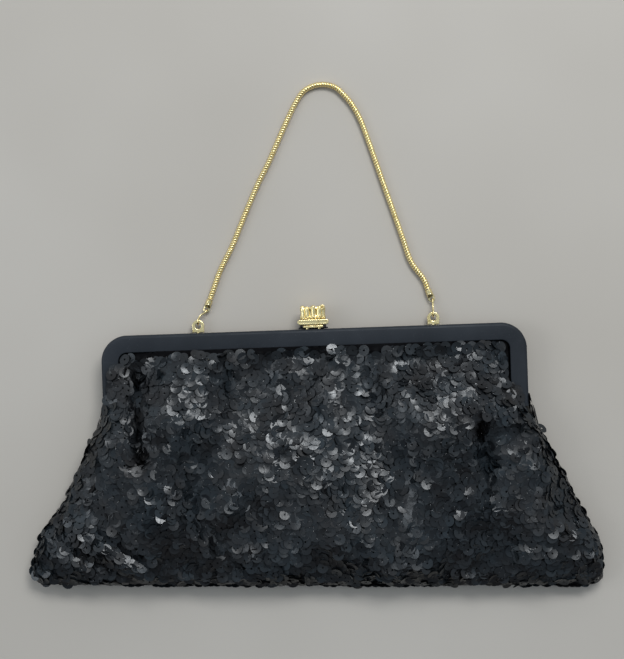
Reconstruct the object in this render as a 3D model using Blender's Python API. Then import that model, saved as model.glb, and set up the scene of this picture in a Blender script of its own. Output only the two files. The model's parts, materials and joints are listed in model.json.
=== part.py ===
"""Sequinned frame evening bag: clip frame, sewn pouch, sprung clasp and snake-chain handle.

The bag lies on its back. +Z points out of its front face, +Y runs from the pouch to the frame's top bar
and on to the handle, and +X is to the right. Z = 0 is the surface that it lies on, and X = Y = 0 is the
middle of the bag without its handle. Lengths are in metres.
"""

import math

import bmesh
import bpy
from mathutils import Matrix, Vector

# ---------------------------------------------------------------- driving dimensions
GAP = 0.0003                     # air left between pieces that touch on the real bag

# Clip frame: two pressed channels, each a U open towards the pouch
FRAME_HALF_WIDTH = 0.1140
FRAME_TOP = 0.0630               # Y of the top bar's outer edge
FRAME_BAND = 0.0093              # width of the face
FRAME_DEPTH = 0.00685            # depth of one half
FRAME_SHEET = 0.0012             # thickness of the pressed metal
FRAME_CORNER = 0.0138            # outer corner radius
FRAME_EDGE = 0.0018              # rounding where the face turns into the outer wall
INNER_FLANGE = 0.0076            # width of the flange at the parting plane
ARM_END = 0.0180                 # Y where the arms stop
PARTING = 0.0070                 # Z of the plane between the halves
FRONT_FACE = 2 * PARTING         # Z of the front half's face; the rear half's is 0

# Paper cord that jams the fabric into the channel
PAPER_CORD_END = 0.0260
PAPER_CORD_INSET = 0.0044
PAPER_CORD_RADII = (0.0017, 0.0019)

# Hinges at the arm ends
HINGE_Y = 0.0135
HINGE_Z = PARTING
LEAF_RADIUS = 0.0036
LEAF_THICKNESS = 0.0010
LEAF_END = 0.0245
LEAF_STEM = (0.0017, 0.0055)     # Z of the rear leaf's stem inside the channel
REAR_LEAF_X = 0.1082
FRONT_LEAF_X = REAR_LEAF_X + LEAF_THICKNESS + GAP
HINGE_RIVET_RADIUS = 0.0010
HINGE_HOLE_RADIUS = 0.00109
HINGE_HEAD_RADIUS = 0.0019
HINGE_HEAD = 0.0008

# Pouch
POUCH_BOTTOM = -0.0760
POUCH_HALF_WIDTH = 0.1530        # at its widest, near the bottom
POUCH_SHOULDER = 0.1190          # half width just under the hinges
POUCH_SHOULDER_Y = 0.0080
POUCH_WIDEST_Y = -0.0620
POUCH_CORNER = 0.0090
POUCH_WALL = 0.0022              # fabric with its sequins
MOUTH_HALF_WIDTH = 0.1074        # edge of the fabric inside the frame's channel
MOUTH_TOP = 0.0564
MOUTH_CORNER = 0.0072
THROAT_HALF_WIDTH = 0.1052       # between the hinges
CHANNEL_RISE = 0.0032            # fabric's height in the channel, from the frame's face
CHANNEL_RAMP = 0.0100            # width over which the back rises into the channel
SEWN_TOP = 0.0070                # Y up to which the two sides are sewn together
MOUTH_Y = (0.0072, 0.0092)       # where the outline steps in from the seam to the frame
BACK_EDGE = 0.0095               # width over which the back turns up to the seam
FOLD_Y = HINGE_Y                 # bottom edge of the front's upper panel
FOLD_CROWN = 0.0062              # its rise above its edges there
YOKE_CROWN = 0.0036              # its rise near the top bar
LOWER_TOP = 0.0065               # top edge of the front's lower panel
LOWER_TOP_DROP = 0.0034          # how far that edge drops to pass under the hinges
LOWER_DROP_X = (0.082, 0.104)    # where it starts to drop, and where it has dropped
LOWER_DROP_Y = -0.030            # rows above this one follow the drop
BELLY_AT_FOLD = 0.0127           # rise of the lower panel above the seam at its top
BELLY_MIDDLE = 0.0150
BELLY_LOW = 0.0115
BELLY_MIDDLE_Y = -0.020
BELLY_LOW_Y = -0.066
SIDE_REACH = (0.0125, 0.042)     # width of the lower panel's rounded sides, at its top and lower down
SIDE_REACH_Y = (0.004, -0.045)
BOTTOM_REACH = 0.026             # width of its rounded bottom edge
YOKE_Y = 0.045                   # where the upper panel is down to the yoke's crown
YOKE_SIDE = (0.001, 0.024)       # width over which the crown rises from the sides
YOKE_TOP = (0.001, 0.018)        # and from the top
LINING = 0.0008
LINING_SLACK = 0.0009            # the lining hangs loose inside the wall
LINING_INSET = 0.0034            # lining's distance inside the fabric's edge at the mouth
POCKET_HALF_WIDTH = 0.0550
POCKET_Y = (-0.0420, 0.0240)
POCKET_OPENING = 0.0022          # how far its top stands off the lining
POCKET_SHEET = 0.0006

# Lugs: flat eyes with a riveted stud
LUG_X = {"left": -0.0624, "right": 0.0654}
LUG_HEIGHT = 0.0038              # eye's centre above the top bar
LUG_Z = 0.0036
LUG_RADIUS = 0.0033
LUG_HOLE = 0.00165
LUG_THICKNESS = 0.0012
STUD_RADIUS = 0.0008
STUD_HEAD_RADIUS = 0.0014
STUD_HEAD = 0.0006

# Handle
HANDLE_Y = FRAME_TOP + LUG_HEIGHT + (LUG_RADIUS + LUG_HOLE) / 2
HANDLE_Z = LUG_Z
LINK_WIRE = 0.00042              # radius
LINK_LOWER = 0.00175             # loop radius at the lug
LINK_UPPER = 0.00130             # loop radius at the cap
LINK_LENGTH = 0.0068             # between the loops' centres
LINK_NECK = 0.00055              # half width between the loops
LINK_LEAN = {"left": math.radians(39), "right": math.radians(1)}
CAP_HEADING = {"left": math.radians(21), "right": math.radians(-20)}
CAP_RADIUS = 0.00175
CAP_TANG = 0.0009                # thickness
CAP_TANG_WIDTH = 0.0036
CAP_HOLE = 0.00105
CAP_TIP = 0.00065                # metal between the hole and the tip
CAP_BODY = 0.0056                # from the hole's centre to the chain
CAP_Z = 0.0019
CHAIN_RADIUS = 0.0015
CHAIN_Z = 0.0016
CHAIN_STEP = 0.0070
# The chain's way over the surface, from the left cap to the right one
CHAIN_WAY = (
    (-0.0494, 0.0970), (-0.0427, 0.1095), (-0.0380, 0.1200), (-0.0330, 0.1312), (-0.0273, 0.1433),
    (-0.0215, 0.1540), (-0.0157, 0.1660), (-0.0100, 0.1778), (-0.0052, 0.1868), (-0.0010, 0.1925),
    (0.0045, 0.1954), (0.0106, 0.1960), (0.0166, 0.1942), (0.0211, 0.1900), (0.0255, 0.1843),
    (0.0298, 0.1757), (0.0340, 0.1633), (0.0381, 0.1501), (0.0422, 0.1370), (0.0464, 0.1238),
    (0.0505, 0.1106), (0.0545, 0.0980),
)

# Clasp
CLASP_PIN_Y = FRAME_TOP + 0.0037
CLASP_PIN_Z = 0.0036
CLASP_PIN_RADIUS = 0.0008
CLASP_HOLE_RADIUS = 0.00088
CLASP_EYE_RADIUS = 0.0018
BASE_HALF_WIDTH = 0.0079
BASE_THICKNESS = 0.0007
BASE_Z = (0.0009, 0.0063)
BASE_RIVET_X = 0.0048
BASE_RIVET_HEAD = 0.00095        # radius
BASE_RIVET_SHANK = 0.0006
BASE_RIVET_HOLE = 0.00075
EAR_X = (0.0061, 0.0069)
KNUCKLE_HALF_WIDTH = 0.0058
PLATE_HALF_WIDTH = 0.00835
PLATE_Y = (FRAME_TOP + 0.00225, FRAME_TOP + 0.0052)
PLATE_Z = (0.0062, 0.0132)
SPRING_HALF_WIDTH = 0.0035
SPRING_SHEET = 0.00025
CATCH_HALF_WIDTH = 0.0053
CATCH_Y = (FRAME_TOP + GAP, FRAME_TOP + 0.0019)
CATCH_Z = (0.0082, 0.0130)
CATCH_STUD_X = 0.0032
ORNAMENT_Y = (FRAME_TOP + 0.0055, FRAME_TOP + 0.0130)
ORNAMENT_RADII = (0.0066, 0.0036)
ORNAMENT_Z = 0.0087
ORNAMENT_BEAD = 0.0011

# ---------------------------------------------------------------- scene helpers
COLOURS = {
    "frame_black": ((0.045, 0.050, 0.058), 0.3, 0.45),
    "sequin_black": ((0.030, 0.033, 0.040), 0.2, 0.35),
    "lining_black": ((0.020, 0.020, 0.024), 0.0, 0.70),
    "pale_gold": ((0.83, 0.70, 0.42), 1.0, 0.28),
    "hinge_steel": ((0.35, 0.35, 0.36), 1.0, 0.35),
    "paper": ((0.62, 0.52, 0.38), 0.0, 0.90),
}
materials = {}


def clear_scene():
    for obj in list(bpy.data.objects):
        bpy.data.objects.remove(obj, do_unlink=True)


def material(name):
    if name not in materials:
        rgb, metallic, roughness = COLOURS[name]
        made = bpy.data.materials.new(name)
        made.use_nodes = True
        shader = made.node_tree.nodes["Principled BSDF"]
        shader.inputs["Base Color"].default_value = (*rgb, 1.0)
        shader.inputs["Metallic"].default_value = metallic
        shader.inputs["Roughness"].default_value = roughness
        materials[name] = made
    return materials[name]


def pivot(name, y, z):
    """An empty on a joint's axis, which runs along X."""
    empty = bpy.data.objects.new(name, None)
    empty.location = (0, y, z)
    bpy.context.collection.objects.link(empty)
    return empty


def place(name, mesh, look, parent=None, smooth=True):
    """One named object. The mesh holds world coordinates, so the parent's place is taken off."""
    if smooth:
        mesh.shade_smooth()
        mesh.set_sharp_from_angle(angle=math.radians(35))
    mesh.materials.append(material(look))
    obj = bpy.data.objects.new(name, mesh)
    bpy.context.collection.objects.link(obj)
    if parent:
        obj.parent = parent
        obj.location = -parent.location
    return obj


def mesh_from(name, vertices, faces):
    """A closed mesh with its faces turned outwards."""
    bm = bmesh.new()
    made = [bm.verts.new(v) for v in vertices]
    for face in faces:
        bm.faces.new([made[i] for i in face])
    bmesh.ops.recalc_face_normals(bm, faces=bm.faces)
    mesh = bpy.data.meshes.new(name)
    bm.to_mesh(mesh)
    bm.free()
    return mesh


def skin(name, rings):
    """Joins equal rings of points into one solid, with a cap on the first and the last."""
    count = len(rings[0])
    vertices = [point for ring in rings for point in ring]
    faces = []
    for k in range(len(rings) - 1):
        a, b = k * count, (k + 1) * count
        for i in range(count):
            j = (i + 1) % count
            faces.append((a + i, a + j, b + j, b + i))
    last = (len(rings) - 1) * count
    faces.append(tuple(range(count)))
    faces.append(tuple(range(last, last + count)))
    return mesh_from(name, vertices, faces)


def prism(name, outline, along, low, high):
    """An outline of 2-D points extruded along X, Y or Z; the points' order is YZ, XZ or XY."""
    def lift(a, b, depth):
        return {"x": (depth, a, b), "y": (a, depth, b), "z": (a, b, depth)}[along]
    return skin(name, [[lift(a, b, depth) for a, b in outline] for depth in (low, high)])


def arc(centre, radius, start, end, steps):
    """Points of a circular arc, angles in degrees."""
    points = []
    for k in range(steps + 1):
        angle = math.radians(start + (end - start) * k / steps)
        points.append((centre[0] + radius * math.cos(angle), centre[1] + radius * math.sin(angle)))
    return points


def circle(centre, radius, sides):
    return arc(centre, radius, 0, 360 - 360 / sides, sides - 1)


def turned(name, profile, along, centre, sides=16):
    """A turned solid: profile is (distance along the axis, radius) from one end to the other."""
    rings = []
    for distance, radius in profile:
        ring = []
        for a, b in circle((0, 0), radius, sides):
            offset = {"x": (distance, a, b), "y": (a, distance, b), "z": (a, b, distance)}[along]
            ring.append(tuple(Vector(centre) + Vector(offset)))
        rings.append(ring)
    return skin(name, rings)


def tool(obj, mesh, operation):
    """Cuts a mesh out of an object, or joins it on, with an exact Boolean."""
    helper = bpy.data.objects.new(mesh.name, mesh)
    bpy.context.collection.objects.link(helper)
    helper.hide_render = True
    helper.display_type = "WIRE"
    modifier = obj.modifiers.new(mesh.name, "BOOLEAN")
    modifier.operation = operation
    modifier.solver = "EXACT"
    modifier.object = helper
    helper.parent = obj.parent
    helper.location = obj.location


def bore(obj, along, centre, radius, length, sides=16):
    """A round hole, centred along its length."""
    ends = [(-length / 2, radius), (length / 2, radius)]
    tool(obj, turned(obj.name + "_bore", ends, along, centre, sides), "DIFFERENCE")


def smoothstep(low, high, value):
    share = min(1.0, max(0.0, (value - low) / (high - low)))
    return share * share * (3 - 2 * share)


def mix(a, b, share):
    return a + (b - a) * share


# ---------------------------------------------------------------- clip frame
def frame_stations(arm_end):
    """The U of the frame's outer edge: points with their inward directions, left arm to right."""
    inner_x = FRAME_HALF_WIDTH - FRAME_CORNER
    inner_y = FRAME_TOP - FRAME_CORNER
    stations = [((-FRAME_HALF_WIDTH, arm_end), (1, 0))]
    for side, start, end in ((-1, 180, 90), (1, 90, 0)):
        centre = (side * inner_x, inner_y)
        for point in arc(centre, FRAME_CORNER, start, end, 7):
            inward = ((centre[0] - point[0]) / FRAME_CORNER, (centre[1] - point[1]) / FRAME_CORNER)
            stations.append((point, inward))
    stations.append(((FRAME_HALF_WIDTH, arm_end), (-1, 0)))
    return stations


def swept_channel(name, profile, arm_end, face_z, depth_sign):
    """Sweeps a section of (inset from the outer edge, depth from the face) round the U."""
    rings = []
    for (x, y), (ix, iy) in frame_stations(arm_end):
        rings.append([(x + ix * u, y + iy * u, face_z + depth_sign * v) for u, v in profile])
    return skin(name, rings)


def channel_profile():
    wall, edge = FRAME_SHEET, FRAME_EDGE
    outside = [(edge - x, edge - y) for x, y in arc((0, 0), edge, 0, 90, 4)]
    lip = [(FRAME_BAND - 0.0004, 0), (FRAME_BAND, 0.0004), (FRAME_BAND, wall)]
    inside = [(wall + 0.0006, wall), (wall, wall + 0.0006), (wall, FRAME_DEPTH - wall + 0.0002)]
    flange = [(INNER_FLANGE, FRAME_DEPTH - wall + 0.0002), (INNER_FLANGE, FRAME_DEPTH), (0, FRAME_DEPTH)]
    return outside + lip + inside + flange


def paper_cord_profile():
    middle = (PAPER_CORD_INSET, FRAME_DEPTH / 2 + 0.0001)
    points = []
    for a, b in circle((0, 0), 1, 10):
        points.append((middle[0] + a * PAPER_CORD_RADII[0], middle[1] + b * PAPER_CORD_RADII[1]))
    return points


def build_frames(front_pivot):
    rear = place("rear_frame", swept_channel("rear_frame", channel_profile(), ARM_END, 0, 1),
                 "frame_black")
    front = place("front_frame", swept_channel("front_frame", channel_profile(), ARM_END, FRONT_FACE, -1),
                  "frame_black", front_pivot)
    place("rear_paper_cord", swept_channel("rear_paper_cord", paper_cord_profile(), PAPER_CORD_END, 0, 1),
          "paper")
    place("front_paper_cord",
          swept_channel("front_paper_cord", paper_cord_profile(), PAPER_CORD_END, FRONT_FACE, -1),
          "paper", front_pivot)
    wall_y = FRAME_TOP - FRAME_SHEET / 2
    hole = STUD_RADIUS + GAP
    for x in LUG_X.values():
        bore(rear, "y", (x, wall_y, LUG_Z), hole, 4 * FRAME_SHEET, 12)
    for x in (-BASE_RIVET_X, BASE_RIVET_X):
        bore(rear, "y", (x, wall_y, CLASP_PIN_Z), BASE_RIVET_HOLE, 4 * FRAME_SHEET, 12)
    for x in (-CATCH_STUD_X, CATCH_STUD_X):
        bore(front, "y", (x, wall_y, sum(CATCH_Z) / 2), hole, 4 * FRAME_SHEET, 12)


def leaf_outline(stem_low, stem_high):
    """Hinge leaf seen along X, in (Y, Z): a disc with a stem that runs up into the arm."""
    low = math.degrees(math.asin((stem_low - HINGE_Z) / LEAF_RADIUS)) if stem_low > HINGE_Z - LEAF_RADIUS \
        else -90.0
    high = math.degrees(math.asin((stem_high - HINGE_Z) / LEAF_RADIUS)) \
        if stem_high < HINGE_Z + LEAF_RADIUS else 90.0
    disc = arc((HINGE_Y, HINGE_Z), LEAF_RADIUS, high, low + 360, 18)
    if low == -90.0:
        disc.append((HINGE_Y + 0.0006, stem_low))
    stem = [(LEAF_END, stem_low), (LEAF_END, stem_high)]
    if high == 90.0:
        stem.append((HINGE_Y + 0.0006, stem_high))
    return disc + stem


def build_hinges(front_pivot):
    low, high = LEAF_STEM
    mirrored = (2 * HINGE_Z - high, 2 * HINGE_Z - low)
    shank_low = REAR_LEAF_X - GAP
    shank_high = FRONT_LEAF_X + LEAF_THICKNESS + GAP
    rivet_profile = [
        (shank_low - HINGE_HEAD, HINGE_HEAD_RADIUS * 0.7), (shank_low - HINGE_HEAD / 2, HINGE_HEAD_RADIUS),
        (shank_low, HINGE_HEAD_RADIUS), (shank_low, HINGE_RIVET_RADIUS),
        (shank_high, HINGE_RIVET_RADIUS), (shank_high, HINGE_HEAD_RADIUS),
        (shank_high + HINGE_HEAD / 2, HINGE_HEAD_RADIUS), (shank_high + HINGE_HEAD, HINGE_HEAD_RADIUS * 0.7),
    ]
    for side, sign in (("left", -1), ("right", 1)):
        rear_x = sorted((sign * REAR_LEAF_X, sign * (REAR_LEAF_X + LEAF_THICKNESS)))
        front_x = sorted((sign * FRONT_LEAF_X, sign * (FRONT_LEAF_X + LEAF_THICKNESS)))
        rear = place(f"hinge_leaf_rear_{side}",
                     prism("leaf", leaf_outline(low, high), "x", *rear_x), "hinge_steel")
        front = place(f"hinge_leaf_front_{side}",
                      prism("leaf", leaf_outline(*mirrored), "x", *front_x), "hinge_steel", front_pivot)
        for leaf in (rear, front):
            bore(leaf, "x", (sign * FRONT_LEAF_X, HINGE_Y, HINGE_Z), HINGE_HOLE_RADIUS, 0.006)
        profile = [(sign * along, radius) for along, radius in rivet_profile]
        place(f"hinge_rivet_{side}", turned("rivet", profile, "x", (0, HINGE_Y, HINGE_Z)), "hinge_steel")


# ---------------------------------------------------------------- pouch
# Each panel lies between two faces of one nested surface: `inset` is a face's depth inside the outer one.
def mouth_share(y):
    """0 where the sides are sewn together, 1 where the fabric runs into the frame."""
    return smoothstep(*MOUTH_Y, y)


def half_width(y, inset=0.0):
    """The pouch's outline: half its width at a height."""
    spread = smoothstep(POUCH_SHOULDER_Y, POUCH_WIDEST_Y, y)
    sewn = mix(POUCH_SHOULDER, POUCH_HALF_WIDTH, spread) - inset
    corner = POUCH_CORNER - inset
    into_corner = min(1.0, max(0.0, (POUCH_BOTTOM + POUCH_CORNER - y) / corner))
    sewn -= corner * (1 - math.sqrt(1 - into_corner ** 2))
    mouth = mix(THROAT_HALF_WIDTH, MOUTH_HALF_WIDTH, smoothstep(ARM_END, ARM_END + 0.0015, y))
    into_corner = min(1.0, max(0.0, (y - MOUTH_TOP + MOUTH_CORNER) / MOUTH_CORNER))
    mouth -= MOUTH_CORNER * (1 - math.sqrt(1 - into_corner ** 2))
    return mix(sewn, mouth, mouth_share(y))


def bulge(distance, reach):
    """Rise of a rounded edge: 0 on the seam, 1 from `reach` inwards."""
    share = min(1.0, max(0.0, distance / reach))
    return math.sqrt(1 - (1 - share) ** 2)


def back_height(x, y, inset):
    side = half_width(y, inset) - abs(x)
    seam = PARTING - GAP / 2
    sewn = seam - (seam - inset) * bulge(side, BACK_EDGE) * bulge(y - POUCH_BOTTOM - inset, BACK_EDGE)
    into_channel = min(half_width(y) - abs(x), MOUTH_TOP - y)
    mouth = inset + CHANNEL_RISE * (1 - smoothstep(0, CHANNEL_RAMP, into_channel))
    return mix(sewn, mouth, mouth_share(y))


def lower_front_height(x, y, inset):
    side_reach = mix(*SIDE_REACH, smoothstep(*SIDE_REACH_Y, y))
    belly = mix(BELLY_AT_FOLD, BELLY_MIDDLE, smoothstep(LOWER_TOP, BELLY_MIDDLE_Y, y))
    belly = mix(belly, BELLY_LOW, smoothstep(BELLY_MIDDLE_Y, BELLY_LOW_Y, y)) - inset
    side = bulge(half_width(min(y, SEWN_TOP), inset) - abs(x), side_reach)
    return PARTING + GAP / 2 + belly * side * bulge(y - POUCH_BOTTOM - inset, BOTTOM_REACH)


def upper_front_height(x, y, inset):
    crown = mix(FOLD_CROWN, YOKE_CROWN, smoothstep(FOLD_Y, YOKE_Y, y))
    side = smoothstep(*YOKE_SIDE, half_width(y) - abs(x))
    top = smoothstep(*YOKE_TOP, MOUTH_TOP - y)
    return FRONT_FACE - CHANNEL_RISE - inset + crown * side * top


def columns(width, edge_steps, inner_count):
    """X of the columns across a half width: close together at the edges, even between them."""
    inner = width - edge_steps[-1]
    left = [-(width - step) for step in edge_steps]
    middle = [inner * (2 * k / inner_count - 1) for k in range(1, inner_count)]
    return left + middle + [-x for x in reversed(left)]


def sheet(name, height, rows, faces_at, look, parent=None):
    """A solid sheet between two insets of a surface; rows(inset) gives its rows of (x, y)."""
    layers = []
    for inset in faces_at:
        layers.append([(x, y, height(x, y, inset)) for row in rows(inset) for x, y in row])
    across, down = len(rows(0)[0]), len(rows(0))
    size = across * down
    faces = []
    for j in range(down - 1):
        for i in range(across - 1):
            a = j * across + i
            faces.append((a, a + 1, a + 1 + across, a + across))
            faces.append((size + a, size + a + across, size + a + 1 + across, size + a + 1))
    rim = list(range(across))
    rim += [j * across + across - 1 for j in range(1, down)]
    rim += [(down - 1) * across + i for i in range(across - 2, -1, -1)]
    rim += [j * across for j in range(down - 2, 0, -1)]
    for k, a in enumerate(rim):
        b = rim[(k + 1) % len(rim)]
        faces.append((a, b, size + b, size + a))
    return place(name, mesh_from(name, layers[0] + layers[1], faces), look, parent)


def straight_rows(seam_steps, heights, edge_steps, inner_count, mouth_inset=0.0):
    """Rows for a sheet: some at steps from the bottom seam, then some at fixed heights."""
    def rows(inset):
        levels = [POUCH_BOTTOM + inset + step for step in seam_steps] + heights
        made = []
        for y in levels:
            width = half_width(y, inset) - mouth_inset * mouth_share(y)
            made.append([(x, y) for x in columns(width, edge_steps, inner_count)])
        return made
    return rows


def lower_rows(seam_steps, heights, edge_steps, inner_count):
    """Rows whose top edge drops at both sides, to pass under the hinges."""
    def rows(inset):
        made = []
        for level in [POUCH_BOTTOM + inset + step for step in seam_steps] + heights:
            drop = LOWER_TOP_DROP * smoothstep(LOWER_DROP_Y, LOWER_TOP, level)
            row = []
            for k, x in enumerate(columns(half_width(min(level, SEWN_TOP), inset), edge_steps, inner_count)):
                y = level - drop * smoothstep(*LOWER_DROP_X, abs(x))
                row.append((columns(half_width(min(y, SEWN_TOP), inset), edge_steps, inner_count)[k], y))
            made.append(row)
        return made
    return rows


def build_pouch(front_pivot):
    wall = (0, POUCH_WALL)
    lining = (POUCH_WALL + LINING_SLACK, POUCH_WALL + LINING_SLACK + LINING)
    into_frame = [MOUTH_TOP - step for step in (MOUTH_CORNER, 0.0042, 0.0018, 0.0005, 0)]
    at_lip = [MOUTH_TOP - LINING_INSET - step for step in (0.0060, 0.0024, 0.0006, 0)]

    back_edge = (0, 0.0006, 0.0023, 0.0052, BACK_EDGE)
    back = [-0.048, -0.028, -0.008, 0.0068, 0.0078, 0.0086, 0.0096, 0.0175, 0.0200, 0.0340]
    sheet("back_panel", back_height, straight_rows(back_edge, back + into_frame, back_edge, 5), wall,
          "sequin_black")
    sheet("lining_back", back_height, straight_rows(back_edge, back + at_lip, back_edge, 3, LINING_INSET),
          lining, "lining_black")

    front_edge = (0, 0.0008, 0.0035, 0.0090, 0.0200)
    front_seam = (0, 0.0008, 0.0035, 0.0090, 0.0170, 0.0260)
    sheet("front_panel_lower", lower_front_height,
          lower_rows(front_seam, [-0.034, -0.016, -0.003, LOWER_TOP], front_edge, 6), wall, "sequin_black")
    sheet("lining_front_lower", lower_front_height,
          straight_rows(front_seam, [-0.030, -0.012, 0.0015], front_edge, 4), lining, "lining_black")

    upper_edge = (0, 0.0030, 0.0080, 0.0160, 0.0260)
    upper = [FOLD_Y, 0.0175, 0.0200, 0.0300, 0.0400]
    sheet("front_panel_upper", upper_front_height, straight_rows((), upper + into_frame, upper_edge, 4),
          wall, "sequin_black", front_pivot)
    sheet("lining_front_upper", upper_front_height,
          straight_rows((), upper + at_lip, upper_edge, 3, LINING_INSET), lining, "lining_black",
          front_pivot)
    build_slip_pocket(lining[1] + GAP)


def build_slip_pocket(z):
    """A patch sewn to the back lining along three sides, standing a little open at its top."""
    low, high = POCKET_Y
    rings = []
    for k in range(7):
        y = mix(low, high, k / 6)
        ring = []
        for layer in (1, 0):
            for i in range(9):
                x = POCKET_HALF_WIDTH * (i / 4 - 1) * (1 if layer else -1)
                ease = POCKET_OPENING * (k / 6) * (1 - (x / POCKET_HALF_WIDTH) ** 2)
                ring.append((x, y, z + ease + layer * POCKET_SHEET))
        rings.append(ring)
    place("slip_pocket", skin("slip_pocket", rings), "lining_black")


# ---------------------------------------------------------------- handle
def build_lugs():
    eye_y = FRAME_TOP + LUG_HEIGHT
    foot_y = FRAME_TOP + GAP
    for side, x in LUG_X.items():
        outline = arc((x, eye_y), LUG_RADIUS, -20, 200, 18)
        outline += [(x - LUG_RADIUS * 0.92, foot_y), (x + LUG_RADIUS * 0.92, foot_y)]
        plate = prism("lug", outline, "z", LUG_Z - LUG_THICKNESS / 2, LUG_Z + LUG_THICKNESS / 2)
        lug = place(f"lug_{side}", plate, "pale_gold")
        bore(lug, "z", (x, eye_y, LUG_Z), LUG_HOLE, 4 * LUG_THICKNESS)
        tool(lug, stud(foot_y + 0.0006, (x, 0, LUG_Z)), "UNION")


def stud(top, centre):
    """Stud through the frame's wall, along Y, with its end riveted over inside the channel."""
    head = FRAME_TOP - FRAME_SHEET - GAP
    profile = [(top, STUD_RADIUS), (head, STUD_RADIUS), (head, STUD_HEAD_RADIUS),
               (head - STUD_HEAD * 0.6, STUD_HEAD_RADIUS), (head - STUD_HEAD, STUD_HEAD_RADIUS * 0.6)]
    return turned("stud", profile, "y", centre, 12)


def link_ends(side):
    """Centres of a link's two loops: on the lug's eye and on the cap's tip."""
    lower = Vector((LUG_X[side], HANDLE_Y, HANDLE_Z))
    drop = HANDLE_Z - CAP_Z
    level = math.sqrt(LINK_LENGTH ** 2 - drop ** 2)
    lean = LINK_LEAN[side]
    upper = lower + Vector((level * math.sin(lean), level * math.cos(lean), -drop))
    return lower, upper


def cap_frame(side):
    """Centre of the cap's hole, and its direction towards the chain."""
    heading = CAP_HEADING[side]
    direction = Vector((math.sin(heading), math.cos(heading), 0))
    upper = link_ends(side)[1]
    return upper + direction * (CAP_HOLE + CAP_TIP / 2), direction


def link_points(side):
    """Closed wire of a link: a loop on the lug, a neck, and a loop on the cap, standing on edge."""
    lower, upper = link_ends(side)
    span = (upper - lower).length
    one_strand = []
    for along, width in arc((0, 0), LINK_LOWER, 180, 62, 7):
        one_strand.append((along, width))
    one_strand.append(((LINK_LOWER + span - LINK_UPPER) / 2, LINK_NECK))
    for along, width in arc((span, 0), LINK_UPPER, 118, 0, 6):
        one_strand.append((along, width))
    other = [(along, -width) for along, width in reversed(one_strand[1:-1])]
    points = []
    for along, width in one_strand + other:
        share = smoothstep(0.3 * LINK_LOWER, span - 0.5 * LINK_UPPER, along)
        straight_up = Vector((lower.x, lower.y + along, lower.z))
        leaning = lower.lerp(upper, along / span)
        axis = straight_up.lerp(leaning, share)
        points.append(axis + Vector((0, 0, width)))
    return points


def smooth_way(points, step):
    """A smooth curve through points, with its own points about `step` apart."""
    fine = []
    padded = [2 * points[0] - points[1]] + points + [2 * points[-1] - points[-2]]
    for a, b, c, d in zip(padded, padded[1:], padded[2:], padded[3:]):
        for k in range(24):
            t = k / 24
            fine.append(0.5 * ((2 * b) + (c - a) * t + (2 * a - 5 * b + 4 * c - d) * t ** 2
                               + (3 * b - a - 3 * c + d) * t ** 3))
    fine.append(points[-1])
    total = sum((q - p).length for p, q in zip(fine, fine[1:]))
    count = round(total / step)
    even, walked = [fine[0]], 0.0
    for p, q in zip(fine, fine[1:]):
        length = (q - p).length
        while len(even) < count and walked + length >= total * len(even) / count:
            even.append(p.lerp(q, (total * len(even) / count - walked) / length))
        walked += length
    even.append(fine[-1])
    return even


def tube(name, points, radius, look, closed=False, parent=None):
    """A round cord or wire: a curve with a bevel, and filled caps where it ends."""
    curve = bpy.data.curves.new(name, "CURVE")
    curve.dimensions = "3D"
    curve.bevel_depth = radius
    curve.bevel_resolution = 2
    curve.use_fill_caps = not closed
    spline = curve.splines.new("POLY")
    spline.points.add(len(points) - 1)
    for target, point in zip(spline.points, points):
        target.co = (*point, 1)
    spline.use_cyclic_u = closed
    spline.use_smooth = True
    curve.materials.append(material(look))
    obj = bpy.data.objects.new(name, curve)
    bpy.context.collection.objects.link(obj)
    if parent:
        obj.parent = parent
        obj.location = -parent.location
    return obj


def cap_mesh(side):
    """Chain cap: a tube end crushed to a flat, level tang, turned to its heading."""
    hole, direction = cap_frame(side)
    tip = CAP_HOLE + CAP_TIP
    half_width_tang = CAP_TANG_WIDTH / 2
    flat = CAP_TANG / 2
    # distance from the hole's centre, half width, half height
    stations = [(-tip, 0.45 * half_width_tang, flat), (-0.8 * tip, 0.80 * half_width_tang, flat),
                (-0.4 * tip, half_width_tang, flat), (0.0010, half_width_tang, flat),
                (0.0022, 0.93 * CAP_RADIUS, 0.8 * CAP_RADIUS), (0.0029, CAP_RADIUS, CAP_RADIUS),
                (CAP_BODY - 0.0003, CAP_RADIUS, CAP_RADIUS),
                (CAP_BODY, CAP_RADIUS - 0.0003, CAP_RADIUS - 0.0003)]
    across = Vector((direction.y, -direction.x, 0))
    rings = []
    for distance, half_x, half_z in stations:
        ring = []
        for a, b in circle((0, 0), 1, 14):
            ring.append(tuple(hole + direction * distance + across * (a * half_x) + Vector((0, 0, b * half_z))))
        rings.append(ring)
    return skin(f"chain_cap_{side}", rings), hole


def build_handle(handle_pivot):
    for side in ("left", "right"):
        tube(f"link_{side}", link_points(side), LINK_WIRE, "pale_gold", True, handle_pivot)
        mesh, hole = cap_mesh(side)
        cap = place(f"chain_cap_{side}", mesh, "pale_gold", handle_pivot)
        bore(cap, "z", hole, CAP_HOLE, 0.006, 12)
    ends = {}
    for side in ("left", "right"):
        hole, direction = cap_frame(side)
        first = hole + direction * (CAP_BODY + GAP)
        ends[side] = [first, first + direction * 0.006]
        ends[side][1].z = CHAIN_Z
        ends[side][0].z = (CAP_Z + CHAIN_Z) / 2
    way = ends["left"] + [Vector((x, y, CHAIN_Z)) for x, y in CHAIN_WAY] + ends["right"][::-1]
    tube("snake_chain", smooth_way(way, CHAIN_STEP), CHAIN_RADIUS, "pale_gold", False, handle_pivot)


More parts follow.
